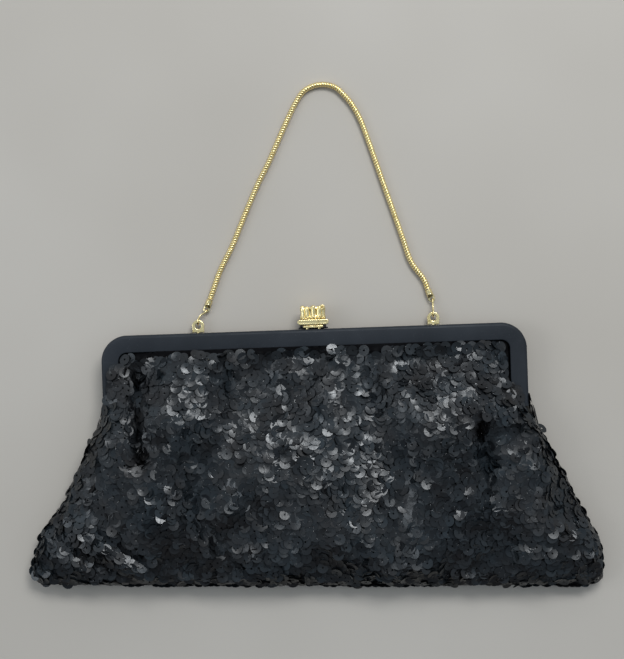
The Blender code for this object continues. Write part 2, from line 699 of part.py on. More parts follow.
# ---------------------------------------------------------------- clasp
def build_clasp_base():
    low = FRAME_TOP + GAP
    high = low + BASE_THICKNESS
    strap = prism("clasp_base", rounded_bar(BASE_HALF_WIDTH, BASE_Z, 0.0009), "y", low, high)
    base = place("clasp_base", strap, "frame_black")
    for sign in (-1, 1):
        span = sorted((sign * EAR_X[0], sign * EAR_X[1]))
        ear = arc((CLASP_PIN_Y, CLASP_PIN_Z), CLASP_EYE_RADIUS, -90, 90, 8)
        ear += [(low + 0.0002, CLASP_PIN_Z + CLASP_EYE_RADIUS), (low + 0.0002, CLASP_PIN_Z - CLASP_EYE_RADIUS)]
        tool(base, prism("ear", ear, "x", *span), "UNION")
    bore(base, "x", (0, CLASP_PIN_Y, CLASP_PIN_Z), CLASP_HOLE_RADIUS, 0.020)
    for side, sign in (("left", -1), ("right", 1)):
        x = sign * BASE_RIVET_X
        bore(base, "y", (x, high, CLASP_PIN_Z), BASE_RIVET_HOLE, 0.004, 12)
        head = high + GAP
        tail = FRAME_TOP - FRAME_SHEET - GAP
        profile = [(head + 0.0003, 0.7 * BASE_RIVET_HEAD), (head + 0.0001, BASE_RIVET_HEAD),
                   (head, BASE_RIVET_HEAD), (head, BASE_RIVET_SHANK), (tail, BASE_RIVET_SHANK),
                   (tail, STUD_HEAD_RADIUS), (tail - 0.0004, STUD_HEAD_RADIUS),
                   (tail - STUD_HEAD, 0.6 * STUD_HEAD_RADIUS)]
        place(f"clasp_rivet_{side}", turned("rivet", profile, "y", (x, 0, CLASP_PIN_Z), 12), "frame_black")
    half = EAR_X[1] + 0.0007
    pin = [(-half, 0.7 * CLASP_PIN_RADIUS), (-half + 0.0002, CLASP_PIN_RADIUS),
           (half - 0.0002, CLASP_PIN_RADIUS), (half, 0.7 * CLASP_PIN_RADIUS)]
    place("clasp_pin", turned("clasp_pin", pin, "x", (0, CLASP_PIN_Y, CLASP_PIN_Z)), "hinge_steel")
    build_clasp_spring(high + GAP)


def rounded_bar(half, span, radius):
    """Rounded rectangle: half width about 0, and the span across it."""
    low, high = span[0] + radius, span[1] - radius
    inner = half - radius
    corners = ((inner, high, 0), (-inner, high, 90), (-inner, low, 180), (inner, low, 270))
    return [point for a, b, start in corners for point in arc((a, b), radius, start, start + 90, 3)]


def build_clasp_spring(seat):
    """Leaf spring, clamped on the base, whose tip presses the lever's plate shut."""
    centreline = [(seat, 0.0013), (seat, 0.0052), (seat + 0.0002, 0.0062), (seat + 0.0006, 0.0074)]
    upper = [(y + SPRING_SHEET, z) for y, z in reversed(centreline)]
    place("clasp_spring", prism("clasp_spring", centreline + upper, "x", -SPRING_HALF_WIDTH,
                                SPRING_HALF_WIDTH), "hinge_steel")


def build_clasp_lever(clasp_pivot):
    low, high = PLATE_Y
    bar = prism("clasp_plate", rounded_bar(PLATE_HALF_WIDTH, PLATE_Z, 0.0014), "y", low, high)
    plate = place("clasp_plate", bar, "pale_gold", clasp_pivot)
    bevel = plate.modifiers.new("soft_edges", "BEVEL")
    bevel.width = 0.0004
    bevel.segments = 1
    bevel.angle_limit = math.radians(60)
    knuckle = arc((CLASP_PIN_Y, CLASP_PIN_Z), CLASP_EYE_RADIUS, 0, -180, 8)
    knuckle += [(low + 0.0001, PLATE_Z[0] + 0.0010), (high - 0.0003, PLATE_Z[0] + 0.0010),
                (high - 0.0003, CLASP_PIN_Z + 0.0006)]
    tool(plate, prism("knuckle", knuckle, "x", -KNUCKLE_HALF_WIDTH, KNUCKLE_HALF_WIDTH), "UNION")
    bore(plate, "x", (0, CLASP_PIN_Y, CLASP_PIN_Z), CLASP_HOLE_RADIUS, 0.020)
    build_ornament(clasp_pivot)


def build_ornament(clasp_pivot):
    """Crown-like cup, oval in plan, with upright flutes and beads along its rim."""
    low, high = ORNAMENT_Y
    rim = high - 1.3 * ORNAMENT_BEAD
    shape = [(low, 1.00), (low + 0.0009, 0.98), (low + 0.0018, 0.86), (mix(low, rim, 0.6), 0.88), (rim, 1.00)]
    rings = []
    for y, scale in shape:
        flute = 0.05 * smoothstep(low + 0.0008, low + 0.0022, y)
        ring = []
        for k in range(32):
            angle = math.radians(360 * k / 32)
            reach = scale * (1 + flute * math.cos(8 * angle))
            ring.append((reach * ORNAMENT_RADII[0] * math.cos(angle), y,
                         ORNAMENT_Z + reach * ORNAMENT_RADII[1] * math.sin(angle)))
        rings.append(ring)
    ornament = place("clasp_ornament", skin("clasp_ornament", rings), "pale_gold", clasp_pivot)
    for k in range(8):
        angle = math.radians(45 * k)
        centre = Vector((0.80 * ORNAMENT_RADII[0] * math.cos(angle), rim + 0.3 * ORNAMENT_BEAD,
                         ORNAMENT_Z + 0.76 * ORNAMENT_RADII[1] * math.sin(angle)))
        tool(ornament, bead(centre), "UNION")


def bead(centre):
    bm = bmesh.new()
    upright = Matrix.Rotation(math.radians(90), 4, "X")
    bmesh.ops.create_icosphere(bm, subdivisions=1, radius=ORNAMENT_BEAD,
                               matrix=Matrix.Translation(centre) @ upright)
    mesh = bpy.data.meshes.new("bead")
    bm.to_mesh(mesh)
    bm.free()
    return mesh


def build_clasp_catch(front_pivot):
    low, high = CATCH_Y
    edge = 0.0005
    outline = [(low, CATCH_Z[0]), (high - edge, CATCH_Z[0]), (high, CATCH_Z[0] + edge),
               (high, CATCH_Z[1] - edge), (high - edge, CATCH_Z[1]), (low, CATCH_Z[1])]
    strip = prism("clasp_catch", outline, "x", -CATCH_HALF_WIDTH, CATCH_HALF_WIDTH)
    catch = place("clasp_catch", strip, "pale_gold", front_pivot)
    for x in (-CATCH_STUD_X, CATCH_STUD_X):
        tool(catch, stud(low + 0.0005, (x, 0, sum(CATCH_Z) / 2)), "UNION")


def main():
    clear_scene()
    front_pivot = pivot("front_half_pivot", HINGE_Y, HINGE_Z)
    clasp_pivot = pivot("clasp_lever_pivot", CLASP_PIN_Y, CLASP_PIN_Z)
    handle_pivot = pivot("handle_pivot", HANDLE_Y, HANDLE_Z)
    build_frames(front_pivot)
    build_hinges(front_pivot)
    build_pouch(front_pivot)
    build_lugs()
    build_handle(handle_pivot)
    build_clasp_base()
    build_clasp_lever(clasp_pivot)
    build_clasp_catch(front_pivot)


main()
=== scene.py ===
"""The look of a sequinned frame evening bag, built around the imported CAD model.

The bag lies on its back: +Z comes out of its front, +Y runs from the pouch to the handle. Metres.
"""

import json
import math

import bmesh
import bpy
import numpy as np
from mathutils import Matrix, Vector


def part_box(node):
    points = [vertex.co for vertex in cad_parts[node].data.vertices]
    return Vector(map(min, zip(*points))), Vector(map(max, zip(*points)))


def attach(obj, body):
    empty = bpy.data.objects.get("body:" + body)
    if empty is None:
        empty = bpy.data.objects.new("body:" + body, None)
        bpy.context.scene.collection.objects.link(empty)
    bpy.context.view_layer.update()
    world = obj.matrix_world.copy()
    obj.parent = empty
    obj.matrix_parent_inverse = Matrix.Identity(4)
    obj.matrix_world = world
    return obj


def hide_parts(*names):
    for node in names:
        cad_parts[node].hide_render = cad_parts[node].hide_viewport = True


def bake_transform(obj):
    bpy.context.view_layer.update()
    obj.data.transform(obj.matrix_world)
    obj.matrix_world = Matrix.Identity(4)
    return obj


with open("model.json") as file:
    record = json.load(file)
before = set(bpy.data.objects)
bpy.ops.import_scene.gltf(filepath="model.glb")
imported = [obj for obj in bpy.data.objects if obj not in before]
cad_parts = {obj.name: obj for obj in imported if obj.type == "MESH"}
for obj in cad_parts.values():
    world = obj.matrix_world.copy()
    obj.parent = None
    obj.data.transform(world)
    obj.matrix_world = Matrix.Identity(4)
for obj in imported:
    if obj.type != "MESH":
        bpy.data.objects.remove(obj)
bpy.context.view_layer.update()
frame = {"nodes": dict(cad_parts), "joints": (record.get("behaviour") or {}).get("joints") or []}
MM = 0.001
rng = np.random.default_rng(41)

# ---- places from the frame
FRAME_LOW, FRAME_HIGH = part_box("front_frame")
REAR_LOW, REAR_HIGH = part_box("rear_frame")
JOINTS = {joint["name"]: Vector(joint["pos_m"]) for joint in frame["joints"]}
HINGE = JOINTS["frame_hinge"]
HALF_WIDTH = FRAME_HIGH.x
TOP = FRAME_HIGH.y
ARM_END = FRAME_LOW.y
FACE = FRAME_HIGH.z
DEPTH = REAR_HIGH.z - REAR_LOW.z
POUCH_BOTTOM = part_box("back_panel")[0].y
SEAM = HINGE.z

# The frame's section, as the CAD has it
BAND = 9.3 * MM
SHEET_METAL = 1.2 * MM
OUTER_CORNER = 13.8 * MM
EDGE_ROUND = 1.8 * MM
FLANGE = 7.6 * MM
LIP_X = HALF_WIDTH - BAND
LIP_Y = TOP - BAND
LIP_CORNER = OUTER_CORNER - BAND


# ---- small helpers
def smooth(low, high, value):
    share = np.clip((value - low) / (high - low), 0, 1)
    return share * share * (3 - 2 * share)


def lerp(a, b, share):
    return a + (b - a) * share


def bulge(distance, reach):
    """Rise of a rounded edge: 0 on the edge, 1 from `reach` inwards."""
    share = np.clip(distance / reach, 0, 1)
    return np.sqrt(np.clip(1 - (1 - share) ** 2, 0, 1))


def unit(vectors):
    return vectors / np.maximum(np.linalg.norm(vectors, axis=-1, keepdims=True), 1e-12)


def around(sides):
    """Angles of equal steps round a circle."""
    return np.linspace(0, 2 * math.pi, sides, endpoint=False)


def arc(centre, radius, start, end, steps):
    """Points of a circular arc, angles in degrees."""
    angles = np.radians(np.linspace(start, end, steps + 1))
    return [(centre[0] + radius * math.cos(a), centre[1] + radius * math.sin(a)) for a in angles]


def placed(name, data):
    """A new object in the scene."""
    obj = bpy.data.objects.new(name, data)
    bpy.context.scene.collection.objects.link(obj)
    return obj


def evaluated(obj):
    """An object as its modifiers leave it."""
    return obj.evaluated_get(bpy.context.evaluated_depsgraph_get())


def show(mesh, name, look, body=None, replaces=()):
    """A finished piece: its object, material, body and the CAD nodes that it stands for."""
    mesh.name = name
    if not mesh.materials:
        mesh.materials.append(look)
    obj = placed(name, mesh)
    if body:
        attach(obj, body)
    if replaces:
        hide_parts(*replaces)
    return obj


def quad_mesh(vertices, quads, smooth_shaded=True):
    mesh = bpy.data.meshes.new("mesh")
    mesh.vertices.add(len(vertices))
    mesh.vertices.foreach_set("co", np.asarray(vertices, np.float32).ravel())
    mesh.loops.add(4 * len(quads))
    mesh.loops.foreach_set("vertex_index", np.asarray(quads, np.int32).ravel())
    mesh.polygons.add(len(quads))
    mesh.polygons.foreach_set("loop_start", np.arange(0, 4 * len(quads), 4, dtype=np.int32))
    mesh.polygons.foreach_set("use_smooth", np.full(len(quads), smooth_shaded))
    mesh.update()
    return mesh


def loft(rings, closed_ends=True, loop=False):
    """Joins equal rings of points into one skin, with a cap on each end unless it runs in a loop."""
    rings = [np.asarray(ring, float) for ring in rings]
    count = len(rings[0])
    vertices = np.concatenate(rings)
    faces = []
    spans = len(rings) if loop else len(rings) - 1
    for k in range(spans):
        a, b = k * count, ((k + 1) % len(rings)) * count
        for i in range(count):
            j = (i + 1) % count
            faces.append((a + i, a + j, b + j, b + i))
    if closed_ends and not loop:
        last = (len(rings) - 1) * count
        faces.append(tuple(range(count - 1, -1, -1)))
        faces.append(tuple(range(last, last + count)))
    mesh = bpy.data.meshes.new("loft")
    mesh.from_pydata(vertices.tolist(), [], faces)
    return tidy_normals(mesh)


def tidy_normals(mesh, angle=38):
    bm = bmesh.new()
    bm.from_mesh(mesh)
    bmesh.ops.recalc_face_normals(bm, faces=bm.faces)
    bm.to_mesh(mesh)
    bm.free()
    mesh.shade_smooth()
    mesh.set_sharp_from_angle(angle=math.radians(angle))
    return mesh


def joined(meshes, angle=38):
    """Several meshes as one."""
    vertices, faces = [], []
    for mesh in meshes:
        start = len(vertices)
        vertices += [tuple(v.co) for v in mesh.vertices]
        faces += [tuple(start + i for i in face.vertices) for face in mesh.polygons]
    made = bpy.data.meshes.new("joined")
    made.from_pydata(vertices, [], faces)
    return tidy_normals(made, angle)


def tube(points, radii, sides, closed=False):
    """A round tube along points, with one radius or one for each point."""
    points = np.asarray(points, float)
    radii = np.broadcast_to(radii, len(points))
    if closed:
        along = unit(np.roll(points, -1, 0) - np.roll(points, 1, 0))
    else:
        along = unit(np.gradient(points, axis=0))
    up = np.array([0.0, 0.0, 1.0]) if abs(along[0][2]) < 0.9 else np.array([1.0, 0.0, 0.0])
    angles = around(sides)
    rings = []
    for point, direction, radius in zip(points, along, radii):
        across = np.cross(direction, up)
        across /= np.linalg.norm(across)
        up = np.cross(across, direction)
        rings.append(point + radius * (np.outer(np.cos(angles), across) + np.outer(np.sin(angles), up)))
    return loft(rings, loop=closed)


def plate(outlines, thickness, bevel, centre, upright="z", angle=38):
    """A flat plate with soft edges from closed outlines, the first the outer one and the rest holes."""
    curve = bpy.data.curves.new("plate", "CURVE")
    curve.dimensions = "2D"
    curve.fill_mode = "BOTH"
    curve.extrude = thickness / 2 - bevel
    curve.bevel_depth = bevel
    curve.bevel_resolution = 3
    curve.offset = -bevel
    for outline in outlines:
        spline = curve.splines.new("POLY")
        spline.points.add(len(outline) - 1)
        for target, (a, b) in zip(spline.points, outline):
            target.co = (a, b, 0, 1)
        spline.use_cyclic_u = True
    helper = placed("plate", curve)
    bpy.context.view_layer.update()
    mesh = bpy.data.meshes.new_from_object(evaluated(helper))
    bpy.data.objects.remove(helper)
    turn = {"z": ((1, 0, 0), (0, 1, 0)), "y": ((1, 0, 0), (0, 0, 1)), "x": ((0, 1, 0), (0, 0, 1))}[upright]
    side, rise = np.array(turn[0], float), np.array(turn[1], float)
    out = np.cross(side, rise)
    for vertex in mesh.vertices:
        a, b, c = vertex.co
        vertex.co = Vector(centre) + Vector(a * side + b * rise + c * out)
    mesh.materials.clear()
    return tidy_normals(mesh, angle)


def boolean(mesh, cutter, operation="DIFFERENCE"):
    """One mesh cut by another or joined to it."""
    pair = [placed("solid", m) for m in (mesh, cutter)]
    modifier = pair[0].modifiers.new("cut", "BOOLEAN")
    modifier.operation = operation
    modifier.solver = "EXACT"
    modifier.object = pair[1]
    bpy.context.view_layer.update()
    made = bpy.data.meshes.new_from_object(evaluated(pair[0]))
    for obj in pair:
        bpy.data.objects.remove(obj)
    return tidy_normals(made)


# ---- materials
class Look:
    """A node material in the making."""

    def __init__(self, name, **sockets):
        self.material = bpy.data.materials.new(name)
        self.material.use_nodes = True
        self.tree = self.material.node_tree
        self.shader = self.tree.nodes["Principled BSDF"]
        for socket, value in sockets.items():
            self.shader.inputs[socket.replace("_", " ")].default_value = value
        self.place = self.node("ShaderNodeTexCoord").outputs["Object"]

    def node(self, kind, **settings):
        made = self.tree.nodes.new(kind)
        for key, value in settings.items():
            if key in made.inputs:
                self.feed(made.inputs[key], value)
            else:
                setattr(made, key, value)
        return made

    def feed(self, socket, value):
        if isinstance(value, bpy.types.NodeSocket):
            self.tree.links.new(value, socket)
        else:
            socket.default_value = value

    def noise(self, scale, detail=3.0, roughness=0.55, stretch=None):
        vector = self.place
        if stretch:
            vector = self.node("ShaderNodeMapping", Vector=vector, Scale=stretch).outputs["Vector"]
        return self.node("ShaderNodeTexNoise", Vector=vector, Scale=scale, Detail=detail,
                         Roughness=roughness).outputs["Fac"]

    def ramp(self, value, low, high, start=0.35, end=0.65):
        """Maps a value to a number or colour that runs from low to high between start and end."""
        made = self.node("ShaderNodeValToRGB", Fac=value)
        stops = made.color_ramp.elements
        for stop, position, colour in ((stops[0], start, low), (stops[1], end, high)):
            stop.position = position
            stop.color = (*colour, 1) if isinstance(colour, tuple) else (colour, colour, colour, 1)
        return made.outputs["Color"]

    def maths(self, operation, a, b):
        made = self.node("ShaderNodeMath", operation=operation)
        self.feed(made.inputs[0], a)
        self.feed(made.inputs[1], b)
        return made.outputs[0]

    def mixed(self, share, a, b, blend="MIX"):
        made = self.node("ShaderNodeMix", data_type="RGBA", blend_type=blend)
        for socket, value in ((made.inputs[0], share), (made.inputs[6], a), (made.inputs[7], b)):
            self.feed(socket, (*value, 1) if isinstance(value, tuple) else value)
        return made.outputs[2]

    def colour(self, value):
        self.feed(self.shader.inputs["Base Color"], value)

    def rough(self, value):
        self.feed(self.shader.inputs["Roughness"], value)

    def bump(self, height, distance, strength=1.0):
        made = self.node("ShaderNodeBump", Height=height, Distance=distance, Strength=strength)
        self.feed(self.shader.inputs["Normal"], made.outputs["Normal"])


def sequin_look():
    """Black plastic film with a satin face; each sequin has its own tone, and patches of the film carry a
    painted brown reflection of the warm floor.
    """
    look = Look("sequin_film", Specular_IOR_Level=0.62)
    shade = look.node("ShaderNodeAttribute", attribute_name="tint").outputs["Fac"]
    # Brown patches mixed into the film's colour: a painted reflection of the warm floor and room, not a
    # stain.
    painted_brown_reflection = look.ramp(look.noise(60, 2.0), 0.0, 0.5)
    film = look.ramp(shade, (0.009, 0.012, 0.015), (0.033, 0.042, 0.049), 0.1, 0.95)
    look.colour(look.mixed(painted_brown_reflection, film, (0.014, 0.009, 0.007)))
    satin = look.ramp(shade, 0.30, 0.16, 0.2, 1.0)
    scuffed = look.ramp(look.noise(900, 2.0), 0.0, 0.10)
    look.rough(look.maths("ADD", satin, scuffed))
    look.bump(look.noise(900, 1.0), 0.010 * MM, 0.2)
    return look.material


def thread_look():
    """Shiny black nylon thread."""
    look = Look("black_thread", Roughness=0.2, Specular_IOR_Level=0.9)
    look.colour(look.ramp(look.noise(4000), (0.010, 0.010, 0.012), (0.05, 0.052, 0.055)))
    look.bump(look.noise(6000), 0.03 * MM)
    return look.material


def weave(look, pitch):
    """Over-and-under threads along X and Y."""
    heights = []
    for direction in ("X", "Y"):
        wave = look.node("ShaderNodeTexWave", wave_type="BANDS", bands_direction=direction,
                         wave_profile="SIN", Vector=look.place, Scale=1 / (pitch * 20),
                         Distortion=0.6, Detail=2.0)
        heights.append(wave.outputs["Fac"])
    return look.maths("MULTIPLY", *heights)


def knit_look():
    look = Look("black_knit", Roughness=0.9, Specular_IOR_Level=0.2, Sheen_Weight=0.05)
    threads = weave(look, 0.7 * MM)
    look.colour(look.mixed(threads, (0.002, 0.002, 0.003), (0.009, 0.009, 0.010)))
    look.bump(threads, 0.15 * MM)
    return look.material


def satin_look():
    look = Look("lining_satin", Sheen_Weight=0.4, Anisotropic=0.4)
    threads = weave(look, 0.35 * MM)
    puckers = look.noise(60, 2.0, stretch=(1, 0.25, 1))
    # The lining's colour is lighter on the puckers' raised crests and darker in their hollows: painted sheen
    # and shade that follow the same puckers that drive the bump.
    look.colour(look.mixed(look.ramp(puckers, 0.0, 1.0), (0.010, 0.010, 0.013), (0.030, 0.030, 0.036)))
    look.rough(look.ramp(threads, 0.34, 0.5, 0.0, 1.0))
    look.bump(look.maths("ADD", threads, look.maths("MULTIPLY", puckers, 6.0)), 0.10 * MM)
    return look.material


def enamel_look():
    """Matte blue-black enamel: cloudy, finely pitted, with a few pale specks and rubbed streaks."""
    look = Look("frame_enamel", Specular_IOR_Level=0.36)
    cloudy = look.ramp(look.noise(25), (0.020, 0.024, 0.030), (0.032, 0.037, 0.045))
    dust = look.ramp(look.noise(1900, 1.0), 0.0, 1.0, 0.735, 0.78)
    rubbed = look.ramp(look.noise(240, 4.0, stretch=(0.25, 1, 1)), 0.0, 0.35, 0.62, 0.74)
    look.colour(look.mixed(rubbed, look.mixed(dust, cloudy, (0.10, 0.11, 0.12)), (0.045, 0.050, 0.058)))
    look.rough(look.ramp(look.noise(90, 4.0), 0.46, 0.64))
    look.bump(look.noise(2600, 2.0), 0.03 * MM, 0.5)
    return look.material


def gold_look():
    """Pale gold plating with handling marks and darker patches where it has worn."""
    look = Look("pale_gold", Metallic=1.0)
    worn = look.ramp(look.noise(420, 4.0), 0.0, 0.75, 0.56, 0.74)
    look.colour(look.mixed(worn, (0.98, 0.83, 0.47), (0.66, 0.49, 0.17)))
    look.rough(look.ramp(look.noise(1300, 4.0), 0.17, 0.36))
    look.bump(look.noise(1700, 3.0), 0.04 * MM, 0.6)
    return look.material


def steel_look():
    look = Look("hinge_steel", Metallic=1.0)
    brushed = look.noise(500, 4.0, stretch=(1, 6, 1))
    look.colour(look.ramp(brushed, (0.20, 0.20, 0.21), (0.42, 0.42, 0.43)))
    look.rough(look.ramp(brushed, 0.28, 0.5))
    look.bump(brushed, 0.02 * MM)
    return look.material


def paper_look():
    look = Look("kraft_paper", Roughness=0.9)
    twist = look.node("ShaderNodeTexWave", wave_type="BANDS", bands_direction="DIAGONAL", Vector=look.place,
                      Scale=120.0, Distortion=2.0, Detail=2.0).outputs["Fac"]
    look.colour(look.mixed(twist, (0.30, 0.22, 0.13), (0.58, 0.47, 0.33)))
    look.bump(twist, 0.2 * MM)
    return look.material


def floor_look():
    look = Look("pale_floor", Roughness=0.75)
    look.colour(look.ramp(look.noise(3.0), (0.50, 0.46, 0.41), (0.56, 0.52, 0.47)))
    return look.material


SEQUIN, THREAD, KNIT, SATIN = sequin_look(), thread_look(), knit_look(), satin_look()
ENAMEL, GOLD, STEEL, PAPER = enamel_look(), gold_look(), steel_look(), paper_look()


# ---- camera, lights and floor
CAMERA_HEIGHT = 0.640
CAMERA_LENS = 64
CAMERA_TURN = math.radians(-2)
WINDOW_POWER = 8
FILL_POWER = 2.5
ROOM_STRENGTH = 0.54
FLOOR_REACH = 12
FLOOR_DROP = 0.4 * MM  # the lowest sequins dip a little under the solid
# The room's light from the side behind the viewer (0) to the window's side (1)
ROOM_COLOURS = ((0.13, (0.24, 0.24, 0.25)), (0.80, (0.90, 0.95, 1.0)), (0.36, (0.56, 0.67, 0.77)))


def build_camera():
    """Straight above the bag, turned by two degrees."""
    camera = placed("camera", bpy.data.cameras.new("camera"))
    camera.data.lens = CAMERA_LENS
    camera.data.sensor_width = 36
    camera.location = (-0.7 * MM, TOP - 0.2 * MM, CAMERA_HEIGHT)
    camera.rotation_euler = (0, 0, CAMERA_TURN)
    camera.data.clip_start = 0.01
    bpy.context.scene.camera = camera


def area_light(name, place, size, power, colour):
    """A rectangular light that points at the frame's middle."""
    light = bpy.data.lights.new(name, "AREA")
    light.shape = "RECTANGLE"
    light.size, light.size_y = size
    light.energy = power
    light.color = colour
    obj = placed(name, light)
    obj.location = place
    obj.rotation_euler = (-Vector(place)).to_track_quat("-Z", "Y").to_euler()


def build_studio():
    """A window beyond the handle, and a room that is brighter on its side than behind the viewer."""
    area_light("window", (0.30, 0.80, 1.05), (0.7, 0.4), WINDOW_POWER, (0.95, 0.98, 1.0))
    area_light("side_fill", (-1.2, 0.1, 1.0), (0.6, 0.6), FILL_POWER, (0.90, 0.95, 1.0))
    world = bpy.data.worlds.new("room")
    world.use_nodes = True
    tree = world.node_tree
    sky = tree.nodes["Background"]
    sky.inputs["Strength"].default_value = ROOM_STRENGTH
    where = tree.nodes.new("ShaderNodeTexCoord")
    split = tree.nodes.new("ShaderNodeSeparateXYZ")
    halved = tree.nodes.new("ShaderNodeMath")
    halved.operation = "MULTIPLY_ADD"
    halved.inputs[1].default_value = halved.inputs[2].default_value = 0.5
    ramp = tree.nodes.new("ShaderNodeValToRGB")
    tree.links.new(where.outputs["Generated"], split.inputs[0])
    tree.links.new(split.outputs["Y"], halved.inputs[0])
    tree.links.new(halved.outputs[0], ramp.inputs["Fac"])
    tree.links.new(ramp.outputs["Color"], sky.inputs["Color"])
    stops = ramp.color_ramp.elements
    (behind, behind_colour), (ahead, ahead_colour), (above, above_colour) = ROOM_COLOURS
    stops[0].position = behind
    stops[0].color = (*behind_colour, 1)
    stops[1].position = ahead
    stops[1].color = (*ahead_colour, 1)
    stops.new(above).color = (*above_colour, 1)
    bpy.context.scene.world = world
    bpy.context.scene.view_settings.view_transform = "Standard"
    bpy.context.scene.view_settings.look = "Medium High Contrast"
    corners = [(FLOOR_REACH * x, FLOOR_REACH * y, 0) for x, y in ((-1, -1), (1, -1), (1, 1), (-1, 1))]
    ground = show(quad_mesh(corners, [(0, 1, 2, 3)]), "floor", floor_look())
    ground.location.z = -FLOOR_DROP


# ---- handle: links, caps and snake chain
LUG_X = {"left": -62.4 * MM, "right": 65.4 * MM}
LUG_Z = 3.6 * MM
LUG_HOLE = 1.65 * MM
LUG_THICKNESS = 1.2 * MM
LINK_WIRE = 0.42 * MM
LINK_LOWER = 1.75 * MM
LINK_UPPER = 1.30 * MM
LINK_LENGTH = 6.8 * MM
LINK_NECK = 0.55 * MM
LINK_LEAN = {"left": math.radians(39), "right": math.radians(1)}
CAP_HEADING = {"left": math.radians(21), "right": math.radians(-20)}
CAP_RADIUS = 1.75 * MM
CAP_TANG = (3.6 * MM, 0.9 * MM)
CAP_HOLE = 1.05 * MM
CAP_TIP = 0.65 * MM
CAP_BODY = 5.6 * MM
CAP_Z = 1.9 * MM
CHAIN_RADIUS = 1.5 * MM
CHAIN_Z = 1.6 * MM
CHAIN_GAP = 0.3 * MM
CHAIN_LEAD = 6.0 * MM
RIB_PITCH = 1.42 * MM
CHAIN_WAY = (
    (-0.0494, 0.0970), (-0.0427, 0.1095), (-0.0380, 0.1200), (-0.0330, 0.1312), (-0.0273, 0.1433),
    (-0.0215, 0.1540), (-0.0157, 0.1660), (-0.0100, 0.1778), (-0.0052, 0.1868), (-0.0010, 0.1925),
    (0.0045, 0.1954), (0.0106, 0.1960), (0.0166, 0.1942), (0.0211, 0.1900), (0.0255, 0.1843),
    (0.0298, 0.1757), (0.0340, 0.1633), (0.0381, 0.1501), (0.0422, 0.1370), (0.0464, 0.1238),
    (0.0505, 0.1106), (0.0545, 0.0980),
)


def show_gold(mesh, node, body):
    """A gold piece that stands for one CAD node."""
    return show(mesh, node + "_gold", GOLD, body, [node])


def link_ends(side):
    """Centres of a link's two loops: on the lug's eye and on the cap's tip."""
    swing = JOINTS["handle_swing"]
    lower = Vector((LUG_X[side], swing.y, swing.z))
    drop = swing.z - CAP_Z
    level = math.sqrt(LINK_LENGTH ** 2 - drop ** 2)
    lean = LINK_LEAN[side]
    return lower, lower + Vector((level * math.sin(lean), level * math.cos(lean), -drop))


def cap_frame(side):
    """Centre of the cap's hole, and its direction towards the chain."""
    heading = CAP_HEADING[side]
    direction = Vector((math.sin(heading), math.cos(heading), 0))
    return link_ends(side)[1] + direction * (CAP_HOLE + CAP_TIP / 2), direction


def link_mesh(side):
    """A figure of eight in wire, with its ends crossing at the neck, standing on edge."""
    lower, upper = link_ends(side)
    span = (upper - lower).length
    strand = arc((0, 0), LINK_LOWER, 180, 62, 16)
    strand += [((LINK_LOWER + span - LINK_UPPER) / 2, LINK_NECK)]
    strand += arc((span, 0), LINK_UPPER, 118, 0, 14)
    strand += [(along, -width) for along, width in reversed(strand[1:-1])]
    points = []
    for along, width in strand:
        share = float(smooth(0.3 * LINK_LOWER, span - 0.5 * LINK_UPPER, along))
        straight = Vector((lower.x, lower.y + along, lower.z))
        points.append(straight.lerp(lower.lerp(upper, along / span), share) + Vector((0, 0, width)))
    return tube(smooth_way(points + points[:1], 0.35 * MM)[:-1], LINK_WIRE, 12, closed=True)


def cap_mesh(side):
    """A tube end crushed to a flat tang with a hole, and rolled over the chain at the other end."""
    hole, direction = cap_frame(side)
    across = Vector((direction.y, -direction.x, 0))
    tip = CAP_HOLE + CAP_TIP
    tang, flat = CAP_TANG[0] / 2, CAP_TANG[1] / 2
    stations = []
    for angle in np.radians(np.linspace(12, 90, 9)):
        stations.append((-tip * math.cos(angle), tang * math.sin(angle), flat * math.sin(angle) ** 0.5))
    for share in np.linspace(0.15, 1, 8):
        ease = float(smooth(0.25, 1, share))
        stations.append((share * 2.9 * MM, lerp(tang, CAP_RADIUS, ease), lerp(flat, CAP_RADIUS, ease)))
    collar = [(3.1, 0.93), (3.3, 0.93), (3.45, 1.0), (4.9, 1.0), (5.0, 0.94), (5.15, 0.94), (5.25, 1.0),
              (5.5, 0.99), (5.6, 0.86)]
    stations += [(at * MM, CAP_RADIUS * scale, CAP_RADIUS * scale) for at, scale in collar]
    angles = around(28)
    rings = []
    for distance, half, rise in stations:
        centre = np.array(hole + direction * distance)
        rings.append(centre + np.outer(half * np.cos(angles), across)
                     + np.outer(rise * np.sin(angles), (0, 0, 1)))
    drill = tube([hole - Vector((0, 0, 3 * MM)), hole + Vector((0, 0, 3 * MM))], CAP_HOLE, 20)
    return boolean(loft(rings), drill)


def smooth_way(points, step):
    """A smooth curve through points, with its own points about `step` apart."""
    points = [np.array(point, float) for point in points]
    padded = [2 * points[0] - points[1], *points, 2 * points[-1] - points[-2]]
    fine = []
    for a, b, c, d in zip(padded, padded[1:], padded[2:], padded[3:]):
        for t in np.linspace(0, 1, 24, endpoint=False):
            fine.append(0.5 * (2 * b + (c - a) * t + (2 * a - 5 * b + 4 * c - d) * t ** 2
                               + (3 * b - a - 3 * c + d) * t ** 3))
    fine = np.array([*fine, points[-1]])
    walked = lengths(fine)
    count = round(walked[-1] / step)
    even = np.linspace(0, walked[-1], count + 1)
    return np.stack([np.interp(even, walked, fine[:, axis]) for axis in range(3)], axis=1)


def lengths(line):
    """Distance walked along a line of points."""
    return np.concatenate([[0], np.cumsum(np.linalg.norm(np.diff(line, axis=0), axis=1))])


def chain_way():
    """The chain's route: straight out of each cap, and round over the surface between them."""
    ends = {}
    for side in ("left", "right"):
        hole, direction = cap_frame(side)
        first = hole + direction * (CAP_BODY + CHAIN_GAP)
        second = first + direction * CHAIN_LEAD
        first.z, second.z = (CAP_Z + CHAIN_Z) / 2, CHAIN_Z
        ends[side] = [first, second]
    return [*ends["left"], *[Vector((x, y, CHAIN_Z)) for x, y in CHAIN_WAY], *reversed(ends["right"])]


